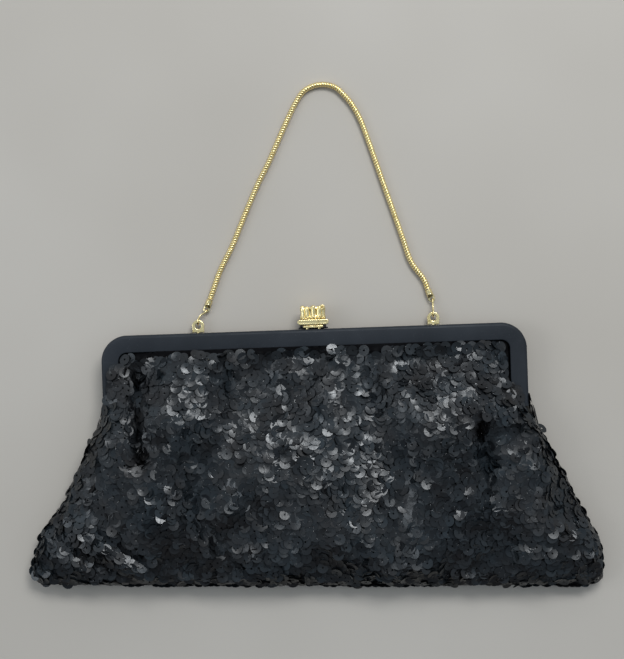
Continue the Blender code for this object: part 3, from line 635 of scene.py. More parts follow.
def chain_mesh(way):
    """Snake chain: crimped rings whose grooves run in a herringbone, four leaning strips round it."""
    rings_per_rib, sides = 8, 24
    points = smooth_way(way, RIB_PITCH / rings_per_rib)
    along = unit(np.gradient(points, axis=0))
    across = unit(np.cross(along, [0, 0, 1]))
    up = np.cross(across, along)
    angles = around(sides)
    zigzag = np.abs(((angles / (math.pi / 2) + 0.5) % 2) - 1)
    walked = lengths(points) / RIB_PITCH
    phase = (walked[:, None] + 0.55 * zigzag[None, :]) % 1
    groove = np.exp(-((phase - 0.5) / 0.17) ** 2)
    radius = CHAIN_RADIUS * (1 - 0.30 * groove)
    surface = (points[:, None, :] + (radius * np.cos(angles))[..., None] * across[:, None, :]
               + (radius * np.sin(angles))[..., None] * up[:, None, :])
    return loft(list(surface))


def build_handle():
    for side in ("left", "right"):
        for kind, mesh in (("link", link_mesh(side)), ("chain_cap", cap_mesh(side))):
            show_gold(mesh, f"{kind}_{side}", "handle")
    way = chain_way()
    chain = show_gold(chain_mesh(way), "snake_chain", "handle")
    path = smooth_way(way, 1 * MM)


# ---- clip frame
def frame_section():
    """The pressed channel's outline: distance inwards from the frame's edge, and depth from its face."""
    wall, edge = SHEET_METAL, EDGE_ROUND
    outside = [(edge - x, edge - y) for x, y in arc((0, 0), edge, 0, 90, 8)]
    nose = [(BAND - 0.5 * MM + 0.5 * MM * math.sin(a), 0.5 * MM - 0.5 * MM * math.cos(a))
            for a in np.radians(np.linspace(0, 90, 5))]
    inside = [(BAND, wall), (wall + 0.6 * MM, wall), (wall, wall + 0.6 * MM), (wall, DEPTH - wall)]
    flange = [(FLANGE, DEPTH - wall), (FLANGE, DEPTH), (0.3 * MM, DEPTH), (0, DEPTH - 0.3 * MM)]
    return outside + nose + inside + flange


def frame_mesh(face_z, sign):
    """Sweeps the section round the U, from the left arm's end to the right one's."""
    inner = (HALF_WIDTH - OUTER_CORNER, TOP - OUTER_CORNER)
    stations = [(-HALF_WIDTH, ARM_END, 1, 0), (-HALF_WIDTH, lerp(ARM_END, inner[1], 0.5), 1, 0)]
    for side, start, end in ((-1, 180, 90), (1, 90, 0)):
        for x, y in arc((0, 0), 1, start, end, 26):
            stations.append((side * inner[0] + OUTER_CORNER * x, inner[1] + OUTER_CORNER * y, -x, -y))
    stations += [(HALF_WIDTH, lerp(ARM_END, inner[1], 0.5), -1, 0), (HALF_WIDTH, ARM_END, -1, 0)]
    rings = []
    for x, y, ix, iy in stations:
        rings.append([(x + ix * u, y + iy * u, face_z + sign * v) for u, v in frame_section()])
    return loft(rings)


def build_frames():
    show(frame_mesh(FACE, -1), "front_frame_enamel", ENAMEL, "front_half", ["front_frame"])
    show(frame_mesh(0, 1), "rear_frame_enamel", ENAMEL, "rear_half", ["rear_frame"])


def build_lugs():
    """Flat eyes with a wide foot that stands on the top bar."""
    for side in ("left", "right"):
        low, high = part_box(f"lug_{side}")
        radius = (high.x - low.x) / 2
        eye = (LUG_X[side], high.y - radius)
        foot = TOP + 0.3 * MM
        waist = foot + 0.9 * MM
        sides = arc(eye, radius, -8, 188, 44)
        sides += [(eye[0] - 0.93 * radius, waist), (eye[0] - radius, foot)]
        sides += [(eye[0] + radius, foot), (eye[0] + 0.93 * radius, waist)]
        hole = arc(eye, LUG_HOLE, 360, 11, 31)
        eye_plate = plate([sides, hole], LUG_THICKNESS, 0.28 * MM, (0, 0, (low.z + high.z) / 2))
        stud = tube([(eye[0], foot + 0.4 * MM, LUG_Z), (eye[0], TOP - 1.8 * MM, LUG_Z)], 0.8 * MM, 16)
        show_gold(joined([eye_plate, stud]), f"lug_{side}", "rear_half")


# ---- clasp
def rounded_bar(half, low, high, radius, steps=8):
    """Outline of a bar with round corners, `half` wide to each side of the middle."""
    inner, lower, upper = half - radius, low + radius, high - radius
    corners = []
    for a, b, start in ((inner, upper, 0), (-inner, upper, 90), (-inner, lower, 180), (inner, lower, 270)):
        corners += arc((a, b), radius, start, start + 90, steps)
    return corners


def ball(centre, radius, squeeze=(1, 1, 1)):
    """A bead, sixteen sides round."""
    angles = around(16)
    rings = []
    for rise in np.radians(np.linspace(-84, 84, 11)):
        ring = np.stack([np.cos(angles) * math.cos(rise), np.full(16, math.sin(rise)),
                         np.sin(angles) * math.cos(rise)], axis=1)
        rings.append(np.array(centre) + radius * ring * np.array(squeeze))
    return loft(rings)


def build_clasp_plate():
    """The lever: a round-ended bar with a raised edge, and a knuckle for the pin."""
    low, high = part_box("clasp_plate")
    pin = JOINTS["clasp_pivot"]
    bar_y = (TOP + 2.25 * MM, TOP + 5.2 * MM)
    bar_z = (6.2 * MM, high.z)
    middle = (bar_z[0] + bar_z[1]) / 2
    bar = plate([rounded_bar(high.x, *bar_y, 1.4 * MM)], bar_z[1] - bar_z[0], 0.35 * MM, (0, 0, middle))
    recess = plate([rounded_bar(high.x - 0.75 * MM, bar_y[0] + 0.75 * MM, bar_y[1] - 0.75 * MM, 0.7 * MM)],
                   0.9 * MM, 0.1 * MM, (0, 0, bar_z[1] + 0.2 * MM))
    bar = boolean(bar, recess)
    width = 5.8 * MM
    barrel = tube([(-width, pin.y, pin.z), (width, pin.y, pin.z)], 1.8 * MM, 28)
    web = plate([rounded_bar(width, 3.6 * MM, 7.0 * MM, 0.4 * MM, 3)], 1.7 * MM, 0.1 * MM,
                (0, pin.y + 0.8 * MM, 0), "y")
    bore = tube([(-2 * width, pin.y, pin.z), (2 * width, pin.y, pin.z)], 0.88 * MM, 20)
    lever = boolean(boolean(boolean(bar, barrel, "UNION"), web, "UNION"), bore)
    show_gold(lever, "clasp_plate", "clasp_lever")


def build_ornament():
    """A crown-like cup: a leafy foot, round columns with dark gaps, and a rim of uneven beads."""
    low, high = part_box("clasp_ornament")
    centre = (low + high) / 2
    radius_x, radius_z = 6.3 * MM, 3.2 * MM
    foot, rim = low.y, high.y - 1.5 * MM

    def oval(y, scale, sides=40):
        angles = around(sides)
        return np.stack([radius_x * scale * np.cos(angles), np.full(sides, y),
                         centre.z + radius_z * scale * np.sin(angles)], axis=1)

    profile = [(0.0, 0.98), (0.2, 1.06), (0.7, 1.06), (1.1, 0.92), (1.6, 0.84), (4.4, 0.84), (4.9, 0.95),
               (5.3, 1.03), (6.0, 1.03), (6.4, 0.94)]
    parts = [loft([oval(foot + rise * MM, scale) for rise, scale in profile])]
    columns = 10
    for k in range(columns):
        angle = 2 * math.pi * (k + 0.42) / columns
        out = np.array([radius_x * math.cos(angle), 0, radius_z * math.sin(angle)])
        base = np.array([0, foot, centre.z])
        points = [base + out * lean + (0, rise * MM, 0) for lean, rise in
                  ((0.90, 0.9), (0.86, 1.8), (0.85, 3.0), (0.86, 4.2), (0.90, 5.2), (0.92, 6.0))]
        thick = 1.0 + 0.13 * math.sin(2.1 * k)
        parts.append(tube(points, [r * thick * MM for r in (1.40, 1.40, 1.38, 1.38, 1.40, 1.2)], 16))
        for step, size in ((-0.17, 0.75), (0.13, 0.9)):
            leaf = base + (radius_x * math.cos(angle + step), 0.75 * MM, radius_z * math.sin(angle + step))
            parts.append(ball(leaf, size * MM, (0.9, 0.95, 0.6)))
        size = (1.05, 0.8, 1.15, 0.72, 1.2, 0.9, 0.75, 1.05, 0.85, 1.0)[k] * MM
        bead = base + out * 0.93 + (0, rim - foot + 0.15 * MM, 0)
        parts.append(ball(bead, size))
    ring_centre = Vector((0.82 * radius_x, rim + 0.2 * MM, centre.z + 0.80 * radius_z))
    ring = [ring_centre + Vector((1.05 * MM * math.cos(a), 1.05 * MM * math.sin(a), 0))
            for a in around(20)]
    parts.append(tube(ring, 0.45 * MM, 10, closed=True))
    crown = joined(parts)
    for vertex in crown.vertices:
        vertex.co.y = min(vertex.co.y, high.y)
    show_gold(crown, "clasp_ornament", "clasp_lever")


def build_catch():
    """The strip that the lever snaps over: plain on the left, finely ribbed on the right."""
    low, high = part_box("clasp_catch")
    top, foot = high.y, TOP + 0.7 * MM
    middle = (low.z + high.z) / 2
    bar = plate([rounded_bar(high.x, foot, top, 0.35 * MM, 4)], high.z - low.z, 0.2 * MM, (0, 0, middle))
    parts = [bar]
    for k in range(5):
        x = 0.9 * MM + k * 0.95 * MM
        rib = [(x, foot + 0.2 * MM, high.z - 0.05 * MM), (x, top - 0.2 * MM, high.z + 0.05 * MM)]
        parts.append(tube(rib, 0.26 * MM, 10))
    for x in (-3.2 * MM, 3.2 * MM):
        parts.append(tube([(x, foot + 0.2 * MM, middle), (x, TOP - 1.9 * MM, middle)], 0.8 * MM, 14))
    show_gold(joined(parts), "clasp_catch", "front_half")


# ---- pouch: cut and shape of the cloth
CORNER = 6.0 * MM
HEM = POUCH_BOTTOM + 2.6 * MM  # the hem is drawn up a little by its seam
TUCK = 106.0 * MM  # half width of the cloth inside the frame's lip
TUCK_TOP = LIP_Y + 2.0 * MM
TUCK_CORNER = LIP_CORNER + 2 * MM
SAG = math.radians(-2.0)  # the soft pouch hangs a little askew
SEQUIN_RADIUS = 3.0 * MM
# The front cloth's left and right edges from the hem up: height, half width and rise, in millimetres. Each
# starts on the seam, climbs over the arm, and is tucked under the lip.
EDGES = {
    -1: ((-73.4, 153, 7), (-65, 152, 7), (-54, 150, 7), (-43, 143.5, 7), (-31, 135, 7), (-19, 130, 7),
         (-7, 125.5, 7), (5, 121, 7.5), (13, 117, 9), (17, 115.3, 10.5), (24, 113.2, 14.6),
         (28, 111.4, 14.9), (42, 109.2, 14.8), (46, 106.5, 14.4), (48.5, 103.9, 13), (52, 104.2, 11.8)),
    1: ((-73.4, 153, 7), (-62, 153.4, 7), (-51, 151.5, 7), (-40, 145.5, 7), (-29.5, 139.5, 7), (-19, 134, 7),
        (-9, 127.5, 7), (0, 122.5, 7.5), (5, 119.5, 9.5), (10, 115.5, 12.5), (15, 111.5, 14.6),
        (19, 109.3, 14.9), (27.5, 107.6, 14.6), (31, 103.9, 13), (34, 104.2, 11.8)),
}


def edge(y, side, column):
    """Half width (column 1) or rise (column 2) of the front cloth's edge on one side."""
    left, right = (np.interp(y, np.array(EDGES[sign])[:, 0] * MM, np.array(EDGES[sign])[:, column] * MM)
                   for sign in (-1, 1))
    return np.where(side < 0, left, right)


def drawn_in(past, radius):
    """How far a round corner draws an edge in, at a distance past the corner's start."""
    into = np.clip(past / radius, 0, 1)
    return radius * (1 - np.sqrt(1 - into ** 2))


def outline(y, side):
    """Half the pouch's width at a height, on one side."""
    width = lerp(edge(y, side, 1), TUCK, smooth(50 * MM, 54 * MM, y))
    return width - drawn_in(HEM + CORNER - y, CORNER) - drawn_in(y - TUCK_TOP + TUCK_CORNER, TUCK_CORNER)


def front_shape(s, y):
    """The front cloth at a share s across, from -1 to 1, and a height y."""
    side = np.sign(s)
    width = outline(y, side)
    x = s * width
    inwards = width - np.abs(x)
    crown = np.interp(y, np.array([-76, -66, -54, -38, -15, 10, 26, 40, 50, 55.7]) * MM,
                      np.array([19, 19.5, 20.5, 21.5, 22, 20.5, 18.2, 16.2, 15.2, 12.0]) * MM)
    full = bulge(inwards, lerp(12.5 * MM, 40 * MM, smooth(4 * MM, -45 * MM, y)))
    gentle = 0.55 * smooth(0, 5 * MM, inwards) + 0.45 * smooth(0, 26 * MM, inwards)
    rise = lerp(full, gentle, smooth(14 * MM, 30 * MM, y))
    z = lerp(edge(y, side, 2), crown, rise)
    hem = bulge(y - HEM, 24 * MM)
    return np.stack([x, y + 0 * x, lerp(SEAM, z, hem)], axis=-1)


# Soft folds: two ends, height (negative for a crease) and width, in millimetres
FOLDS = (
    ((-95, 42), (-93, -4), -4.8, 4.5), ((-102, 32), (-132, -34), 1.6, 8.0),
    ((-76, 34), (-74, -30), 1.5, 8.0), ((88, 8), (92, -24), -3.0, 5.0),
    ((104, 18), (124, -40), 1.4, 8.0), ((76, 20), (78, -30), 1.0, 7.0),
    ((106, -50), (140, -53), -2.2, 4.5), ((108, -61), (138, -63), 1.0, 5.0),
    ((-116, -46), (-92, -60), -2.8, 4.0), ((-124, -58), (-98, -69), -2.6, 3.4),
    ((-110, -54), (-88, -66), 1.2, 3.4), ((-140, -46), (-118, -66), -2.0, 5.0),
    ((-40, 40), (-46, 4), -1.6, 6.0), ((-20, -8), (-14, -50), -1.8, 6.0),
    ((22, 44), (27, 10), -1.4, 6.0), ((48, -12), (40, -58), -2.0, 6.5),
    ((-60, -36), (-44, -62), -1.8, 5.0), ((4, 20), (10, -12), 1.0, 8.0),
    ((60, 42), (64, 18), -1.4, 5.0), ((14, -44), (30, -66), -1.4, 5.0),
)
DEEP_CREASE = -2.9  # creases at least this deep have their sequins on edge
FRONT_SPACING = 3.05 * MM  # between sequins in a row
BACK_SPACING = 3.3 * MM
SIDE_SPACING = 3.0 * MM
CLOTH_GIVE = 0.035  # share by which the simulated cloth is too large
CLOTH_REACH = 3.5 * MM  # the furthest that the simulation moves it
CLOTH_FRAMES = 20


def from_line(x, y, start, end):
    """X and Y distances of points from a line whose ends are in millimetres."""
    (ax, ay), (bx, by) = np.array(start) * MM, np.array(end) * MM
    along = np.clip(((x - ax) * (bx - ax) + (y - ay) * (by - ay)) / ((bx - ax) ** 2 + (by - ay) ** 2), 0, 1)
    return x - ax - along * (bx - ax), y - ay - along * (by - ay)


def folded(points):
    """Adds the folds and a slow unevenness to the front cloth."""
    x, y = points[..., 0], points[..., 1]
    lift = np.zeros_like(x)
    for start, end, height, width in FOLDS:
        lift += height * MM * np.exp(-(np.hypot(*from_line(x, y, start, end)) / (width * MM)) ** 2)
    for _ in range(9):
        waves = rng.uniform(28, 75) * MM
        angle = rng.uniform(0, math.pi)
        offset = rng.uniform(0, 2 * math.pi)
        across = x * math.cos(angle) + y * math.sin(angle)
        lift += 0.34 * MM * np.sin(across * 2 * math.pi / waves + offset)
    inside = smooth(0, 9 * MM, outline(y, np.sign(x)) - np.abs(x)) * smooth(TUCK_TOP, TUCK_TOP - 8 * MM, y)
    points[..., 2] += lift * inside * smooth(HEM, HEM + 10 * MM, y)
    return points


def askew(points):
    """Turns the lower pouch a little about the middle of the frame's mouth."""
    angle = SAG * smooth(22 * MM, -30 * MM, points[..., 1])
    x, y = points[..., 0].copy(), points[..., 1] - 12 * MM
    points[..., 0] = x * np.cos(angle) - y * np.sin(angle)
    points[..., 1] = x * np.sin(angle) + y * np.cos(angle) + 12 * MM
    return points


def cloth_grid(shape, rows, columns, low, high):
    """A grid of points over a shape: rows from the bottom up, closer there, and columns across."""
    v = np.linspace(0, 1, rows)
    y = low + (high - low) * (0.72 * v + 0.28 * v ** 2)
    s = np.sin(np.linspace(-1, 1, columns) * math.radians(74)) / math.sin(math.radians(74))
    return shape(s[None, :], y[:, None] + 0 * s[None, :])


def relaxed(grid, give, limit):
    """Lets the cloth find its own folds: pinned at its edges, a little too large, and softly blown up."""
    rows, columns = grid.shape[:2]
    obj = placed("cloth", grid_mesh(grid))
    pinned = obj.vertex_groups.new(name="edge")
    for j in range(rows):
        for i in range(columns):
            inside = min(j, rows - 1 - j, i, columns - 1 - i)
            if inside < 3:
                pinned.add([j * columns + i], (1.0, 0.8, 0.3)[inside], "REPLACE")
    cloth = obj.modifiers.new("cloth", "CLOTH").settings
    cloth.quality = 6
    cloth.mass = 0.4
    cloth.tension_stiffness = cloth.compression_stiffness = 14
    cloth.shear_stiffness = 6
    cloth.bending_stiffness = 0.9
    cloth.air_damping = 4
    cloth.shrink_min = cloth.shrink_max = -give
    cloth.vertex_group_mass = "edge"
    cloth.pin_stiffness = 4
    cloth.use_pressure = True
    cloth.uniform_pressure_force = 0.35
    cloth.effector_weights.gravity = 0
    scene = bpy.context.scene
    for step in range(1, CLOTH_FRAMES + 1):
        scene.frame_set(step)
    settled = evaluated(obj).data
    moved = np.zeros(3 * rows * columns, np.float32)
    settled.vertices.foreach_get("co", moved)
    scene.frame_set(1)
    bpy.data.objects.remove(obj)
    shift = moved.reshape(grid.shape) - grid
    far = np.linalg.norm(shift, axis=-1, keepdims=True)
    return grid + shift * np.minimum(1, limit / np.maximum(far, 1e-9))


def grid_quads(rows, columns, flip=False):
    corner = (np.arange(rows - 1)[:, None] * columns + np.arange(columns - 1)[None, :]).ravel()
    quads = np.stack([corner, corner + 1, corner + 1 + columns, corner + columns], axis=1)
    return quads[:, ::-1] if flip else quads


def grid_mesh(grid, flip=False):
    return quad_mesh(grid.reshape(-1, 3), grid_quads(*grid.shape[:2], flip))


def grid_normals(grid):
    return unit(np.cross(np.gradient(grid, axis=1), np.gradient(grid, axis=0)))


def clear_of_face(points, lift):
    """Cloth that passes over the front frame's face stays above it."""
    x, y, z = np.abs(points[..., 0]), points[..., 1], points[..., 2]
    over = (x < HALF_WIDTH) & (y > ARM_END) & (y < TOP) & ((x > LIP_X - 0.3 * MM) | (y > LIP_Y - 0.3 * MM))
    points[..., 2] = np.where(over & (z > FACE - 1.1 * MM), np.maximum(z, FACE + lift), z)
    return points


def back_shape(s, y):
    """The back cloth: flat on the floor, turned up to the seam, and tucked behind the rear lip."""
    side = np.sign(s)
    sewn = outline(np.minimum(y, ARM_END - 1 * MM), side)
    tucked = TUCK - drawn_in(y - TUCK_TOP + TUCK_CORNER, TUCK_CORNER)
    width = lerp(sewn, tucked, smooth(10 * MM, ARM_END + 2 * MM, y))
    x = s * width
    flat = 2.3 * MM
    turned = SEAM - 0.3 * MM
    low_part = turned - (turned - flat) * bulge(width - np.abs(x), 9.5 * MM) * bulge(y - HEM, 9.5 * MM)
    z = lerp(low_part, flat, smooth(10 * MM, ARM_END, y))
    return np.stack([x, y + 0 * x, z], axis=-1)


# ---- pouch: sequins
def sample(grid, u, v):
    """Points of a grid at fractional columns u and rows v."""
    j = np.clip(v.astype(int), 0, grid.shape[0] - 2)
    i = np.clip(u.astype(int), 0, grid.shape[1] - 2)
    a, b = (u - i)[:, None], (v - j)[:, None]
    return ((1 - a) * (1 - b) * grid[j, i] + a * (1 - b) * grid[j, i + 1]
            + (1 - a) * b * grid[j + 1, i] + a * b * grid[j + 1, i + 1])


def sewn_rows(grid, spacing):
    """Where sequins are sewn: rows a step apart along the cloth, staggered and unsteady."""
    climb = lengths(grid[:, grid.shape[1] // 2])
    rows = round(climb[-1] / (0.93 * spacing))
    found = []
    for k in range(rows + 1):
        v = np.interp(climb[-1] * k / rows, climb, np.arange(grid.shape[0]))
        j = min(int(v), grid.shape[0] - 2)
        across = lengths(lerp(grid[j], grid[j + 1], v - j))
        count = round(across[-1] / spacing)
        at = (np.arange(count) + 0.25 + 0.5 * (k % 2)) / count * across[-1]
        at = np.clip(at + rng.normal(0, 0.13 * spacing, count), 0, across[-1])
        u = np.interp(at, across, np.arange(grid.shape[1]))
        sway = 0.35 * np.sin(at / (17 * MM) + 0.9 * k) + rng.normal(0, 0.16, count)
        found.append(np.stack([u, np.clip(v + sway * spacing / (climb[-1] / grid.shape[0]), 0,
                                          grid.shape[0] - 1)], axis=1))
    return np.concatenate(found)


def sequins(grid, spacing, outwards, segments, mean_tilt, wild, keep=None, floor=None, over_face=False):
    """A coat of cup sequins on a grid of cloth: vertices, quads, material numbers and tints.

    They overlap like scales. Each leans by about a mean tilt in a direction that drifts over the cloth, and
    a share of them stands up at random."""
    places = sewn_rows(grid, spacing)
    points = sample(grid, places[:, 0], places[:, 1])
    if keep is not None:
        chosen = keep(points)
        places, points = places[chosen], points[chosen]
    count = len(points)
    normals = unit(sample(outwards * grid_normals(grid), places[:, 0], places[:, 1]))
    side = unit(np.cross(np.array([0.0, 1.0, 0.0]), normals))
    rise = np.cross(normals, side)
    x, y = points[:, 0], points[:, 1]
    drift = (0.9 * np.sin(x / (23 * MM) + 1.3) + 0.8 * np.sin(y / (17 * MM) - 0.6)
             + 0.5 * np.sin((x + y) / (9 * MM)))
    heading = 0.9 + 1.5 * drift + rng.normal(0, 0.8, count)
    tilt = np.abs(rng.normal(mean_tilt, 0.45 * mean_tilt, count))
    patches = (np.sin(x / (13 * MM) + 2 * np.sin(y / (21 * MM)))
               * np.sin(y / (11 * MM) + 1.7 * np.sin(x / (19 * MM))))
    tilt *= 1 + 0.55 * patches
    standing = rng.random(count) < wild
    tilt = np.where(standing, np.radians(rng.uniform(13, 36, count)), tilt)
    heading = np.where(standing, rng.normal(1.3, 1.0, count), heading)
    if outwards > 0:
        tilt, heading = into_creases(x, y, tilt, heading)
    lean = np.cos(heading)[:, None] * side + np.sin(heading)[:, None] * rise
    axis = normals * np.cos(tilt)[:, None] + lean * np.sin(tilt)[:, None]
    spin = rng.uniform(0, 2 * math.pi, count)
    first = unit(lean - axis * np.sum(lean * axis, axis=1, keepdims=True))
    second = np.cross(axis, first)
    first, second = (first * np.cos(spin)[:, None] + second * np.sin(spin)[:, None],
                     second * np.cos(spin)[:, None] - first * np.sin(spin)[:, None])
    lifted = 0.40 * MM + 0.5 * SEQUIN_RADIUS * np.sin(tilt) + rng.uniform(0, 0.9, count) * MM
    centres = points + normals * lifted[:, None]
    flat, quads, kinds = sequin_template(segments)
    size = SEQUIN_RADIUS * rng.normal(1, 0.02, count)
    cup = rng.normal(0.13, 0.07, count) * MM
    bend = rng.normal(0, 0.11, count) * MM
    a, b, c = flat[:, 0], flat[:, 1], flat[:, 2]
    height = cup[:, None] * (a ** 2 + b ** 2)[None, :] + bend[:, None] * (a ** 2)[None, :] + c[None, :]
    vertices = (centres[:, None, :] + size[:, None, None] * (a[None, :, None] * first[:, None, :]
                + b[None, :, None] * second[:, None, :]) + height[..., None] * axis[:, None, :])
    if floor is not None:
        vertices[..., 2] = np.maximum(vertices[..., 2], floor)
    if over_face:
        vertices = over_lip(vertices)
    tint = np.clip(rng.normal(0.38, 0.22, count) + 0.1 * patches, 0, 1)
    return vertices, quads, kinds, tint


def into_creases(x, y, tilt, heading):
    """On the flanks of the deepest creases the sequins stand almost on edge."""
    for start, end, height, _ in FOLDS:
        if height <= DEEP_CREASE:
            dx, dy = from_line(x + 2.2 * MM * np.sin(y / (6 * MM)), y, start, end)
            near = np.exp(-(np.hypot(dx, dy) / (3.4 * MM)) ** 2) > rng.uniform(0.3, 1.3, len(x))
            tilt = np.where(near, np.radians(rng.uniform(40, 78, len(x))), tilt)
            heading = np.where(near, np.arctan2(-dy, -dx) + rng.normal(0, 0.4, len(x)), heading)
    return tilt, heading


def over_lip(vertices):
    """Sequins that reach over the front frame's face lie on it."""
    x, y, z = np.abs(vertices[..., 0]), vertices[..., 1], vertices[..., 2]
    over = (x < HALF_WIDTH + 0.2 * MM) & (y > ARM_END - 0.2 * MM) & ((x > LIP_X) | (y > LIP_Y))
    vertices[..., 2] = np.where(over, np.maximum(z, FACE + 0.12 * MM), z)
    return vertices


def sequin_template(segments):
    """One sequin of radius 1 with its hole and the stitch from hole to rim: points, quads, materials."""
    points, quads = [], []
    for radius in (0.17, 0.62, 1.0):
        points += [(x, y, 0) for x, y in arc((0, 0), radius, 0, 360 - 360 / segments, segments - 1)]
    for ring in range(2):
        for i in range(segments):
            a, b = ring * segments + i, ring * segments + (i + 1) % segments
            quads.append((a, a + segments, b + segments, b))
    kinds = [0] * len(quads)
    start = len(points)
    for along, height in ((0.10, -0.10), (0.16, 0.10), (0.60, 0.12), (1.02, 0.10), (1.06, -0.20)):
        beside = height * MM - 0.04 * MM
        points += [(along, -0.040, beside), (along, 0, height * MM), (along, 0.040, beside)]
    for k in range(4):
        for i in range(2):
            a = start + 3 * k + i
            quads.append((a, a + 3, a + 4, a + 1))
            kinds.append(1)
    return np.array(points), np.array(quads), np.array(kinds)


def sequin_mesh(vertices, quads, kinds, tint):
    count, size = vertices.shape[:2]
    faces = (quads[None, :, :] + (np.arange(count) * size)[:, None, None]).reshape(-1, 4)
    mesh = quad_mesh(vertices.reshape(-1, 3), faces)
    mesh.materials.append(SEQUIN)
    mesh.materials.append(THREAD)
    mesh.polygons.foreach_set("material_index", np.tile(kinds, count).astype(np.int32))
    shade = mesh.attributes.new("tint", "FLOAT", "POINT")
    shade.data.foreach_set("value", np.repeat(tint, size).astype(np.float32))
    return mesh


def show_sequins(name, coat, parts, follow):
    """Splits a coat of sequins into side-by-side pieces, and passes each to `follow`, which attaches it to
    the rear half or only bakes its place into its mesh.
    """
    vertices, quads, kinds, tint = coat
    order = np.argsort(vertices[:, 0, 0], kind="stable")
    made = []
    for label, chosen in zip(parts, np.array_split(order, len(parts))):
        mesh = sequin_mesh(vertices[chosen], quads, kinds, tint[chosen])
        piece = show(mesh, f"{name}_{label}", SEQUIN)
        follow(piece)
        made.append(piece)
    return made


def bends_at_hinge(piece):
    """Cloth that runs from the rear half over the hinge line on to the front half: its place is baked into
    its mesh and it is attached to no body, so nothing bends it at the hinge.
    """
    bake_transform(piece)


def on_rear(piece):
    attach(piece, "rear_half")


def build_front():
    grid = cloth_grid(lambda s, y: folded(front_shape(s, y)), 88, 132, HEM, TUCK_TOP)
    grid = clear_of_face(askew(relaxed(grid, CLOTH_GIVE, CLOTH_REACH)), 0.25 * MM)
    cloth = show(grid_mesh(grid), "front_fabric", KNIT,
                 replaces=["front_panel_lower", "front_panel_upper"])
    bends_at_hinge(cloth)
    coat = sequins(grid, FRONT_SPACING, 1, 14, math.radians(9.5), 0.09, keep=showing, over_face=True)
    show_sequins("sequins_front", coat, ("left", "middle", "right"), bends_at_hinge)
    return grid


def showing(points):
    """Leaves out the sequins that would sit under the lip of the front half."""
    x, y, z = np.abs(points[:, 0]), points[:, 1], points[:, 2]
    reach = rng.normal(2.9, 0.4, len(points)) * MM
    beside = (x > LIP_X - reach) & (y > ARM_END + 2 * MM) & (z < FACE - 0.2 * MM)
    return ~(beside | (y > LIP_Y - 0.9 * reach))


def build_back():
    grid = askew(cloth_grid(back_shape, 60, 90, HEM, TUCK_TOP))
    mesh = grid_mesh(grid, flip=True)
    cloth = show(mesh, "back_fabric", KNIT, "rear_half", ["back_panel"])

    def inside_lip(points):
        x, y = np.abs(points[:, 0]), points[:, 1]
        return ~((y > ARM_END - 3 * MM) & ((x > LIP_X - 3.2 * MM) & (x < HALF_WIDTH + 3 * MM))) & (
            y < LIP_Y - 3.2 * MM)

    coat = sequins(grid, BACK_SPACING, -1, 12, math.radians(6), 0.0, keep=inside_lip, floor=0.25 * MM)
    show_sequins("sequins_back", coat, ("left", "middle", "right"), on_rear)
    return grid


def build_gussets():
    """The cloth's side, which shows outside the arms near the hinges."""
    for side, sign in (("left", -1), ("right", 1)):
        v, u = np.meshgrid(np.linspace(0, 1, 14), np.linspace(0, 1, 10), indexing="ij")
        y = lerp(1 * MM, ARM_END + 6.5 * MM, v)
        out = lerp(120.5 * MM, HALF_WIDTH + 0.9 * MM, v ** 0.8) + 2.4 * MM * (1 - u) * smooth(1, 0.6, v)
        z = lerp(2.2 * MM, 12.8 * MM, u) - 1.5 * MM * v * u
        grid = np.stack([sign * out, y, z], axis=-1)
        if sign > 0:
            grid = grid[:, ::-1]
        grid = askew(grid)
        cloth = show(grid_mesh(grid, flip=True), f"side_fabric_{side}", KNIT)
        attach(cloth, "rear_half")
        coat = sequins(grid, SIDE_SPACING, -1, 14, math.radians(9), 0.1)
        show_sequins("sequins_side", coat, (side,), on_rear)


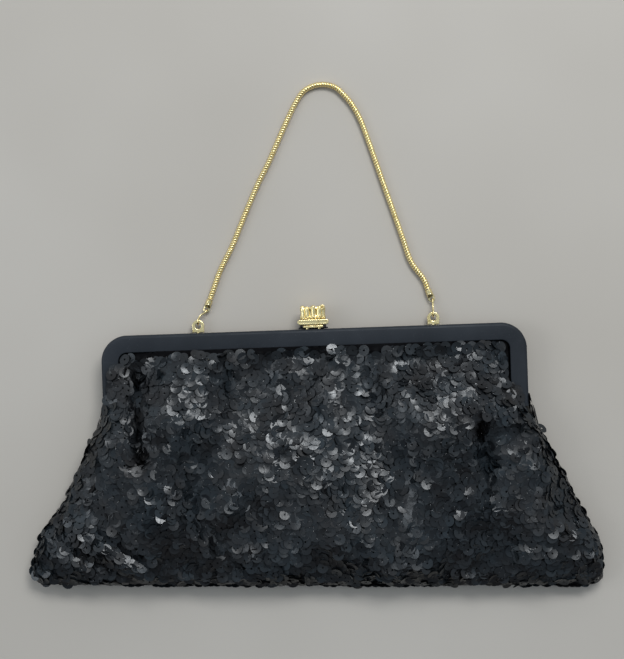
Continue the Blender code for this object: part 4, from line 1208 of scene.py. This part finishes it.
def build_linings(front, back):
    """Loose satin inside the pouch."""
    inner_front = front[2:-3, 2:-2] - 2.0 * MM * grid_normals(front)[2:-3, 2:-2]
    inner_back = back[2:-3, 2:-2] + 1.3 * MM * grid_normals(back)[2:-3, 2:-2]
    for name, grid, replaced in (("front_lining", inner_front, ["lining_front_lower", "lining_front_upper"]),
                                 ("back_lining", inner_back, ["lining_back"])):
        puckers = rng.normal(0, 1, (8, 22))
        v = np.linspace(0, 6.999, grid.shape[0])
        u = np.linspace(0, 20.999, grid.shape[1])
        spread = sample(puckers[..., None], np.tile(u, len(v)), np.repeat(v, len(u))).reshape(grid.shape[:2])
        grid = grid.copy()
        grid[..., 2] += 0.22 * MM * spread
        cloth = show(grid_mesh(grid), name + "_satin", SATIN, replaces=replaced)
        if name == "front_lining":
            bends_at_hinge(cloth)
        else:
            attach(cloth, "rear_half")


def build_slip_pocket():
    """A patch pocket on the back lining: rolled top hem and a row of stitches round the other edges."""
    low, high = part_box("slip_pocket")
    v, u = np.meshgrid(np.linspace(0, 1, 40), np.linspace(-1, 1, 60), indexing="ij")
    x = high.x * u
    y = lerp(low.y, high.y, v)
    z = low.z + 0.5 * MM + 2.0 * MM * v ** 2 * (1 - u ** 2) + 0.15 * MM * np.sin(9 * u + 3 * v) * v
    grid = np.stack([x, y, z], axis=-1)
    pocket = show(grid_mesh(grid), "slip_pocket_satin", SATIN, "rear_half", ["slip_pocket"])
    hem = show(tube(grid[-1], 0.55 * MM, 10), "slip_pocket_hem", SATIN, "rear_half")
    border = np.concatenate([grid[::-1, 2], grid[2, 3:-3], grid[:, -3]])
    walked = lengths(border)
    stitches = []
    for at in np.arange(1 * MM, walked[-1] - 2 * MM, 2.6 * MM):
        steps = at + np.array([0, 0.9, 1.8]) * MM
        line = np.stack([np.interp(steps, walked, border[:, axis]) for axis in range(3)], axis=1)
        stitches.append(tube(line + [0, 0, 0.15 * MM], np.array([0.08, 0.16, 0.08]) * MM, 6))
    seam = show(joined(stitches), "slip_pocket_stitches", THREAD, "rear_half")


def dress_cad_nodes():
    """Procedural finishes for the CAD pieces that stay."""
    looks = {"hinge": STEEL, "clasp_pin": STEEL, "clasp_spring": STEEL, "clasp_base": ENAMEL,
             "clasp_rivet": ENAMEL, "rear_paper_cord": PAPER, "front_paper_cord": PAPER}
    for name, node in frame["nodes"].items():
        for start, look in looks.items():
            if name.startswith(start):
                node.data.materials.clear()
                node.data.materials.append(look)


build_camera()
build_handle()
build_studio()
build_frames()
build_lugs()
build_clasp_plate()
build_ornament()
build_catch()
front_grid = build_front()
back_grid = build_back()
build_gussets()
build_linings(front_grid, back_grid)
build_slip_pocket()
dress_cad_nodes()
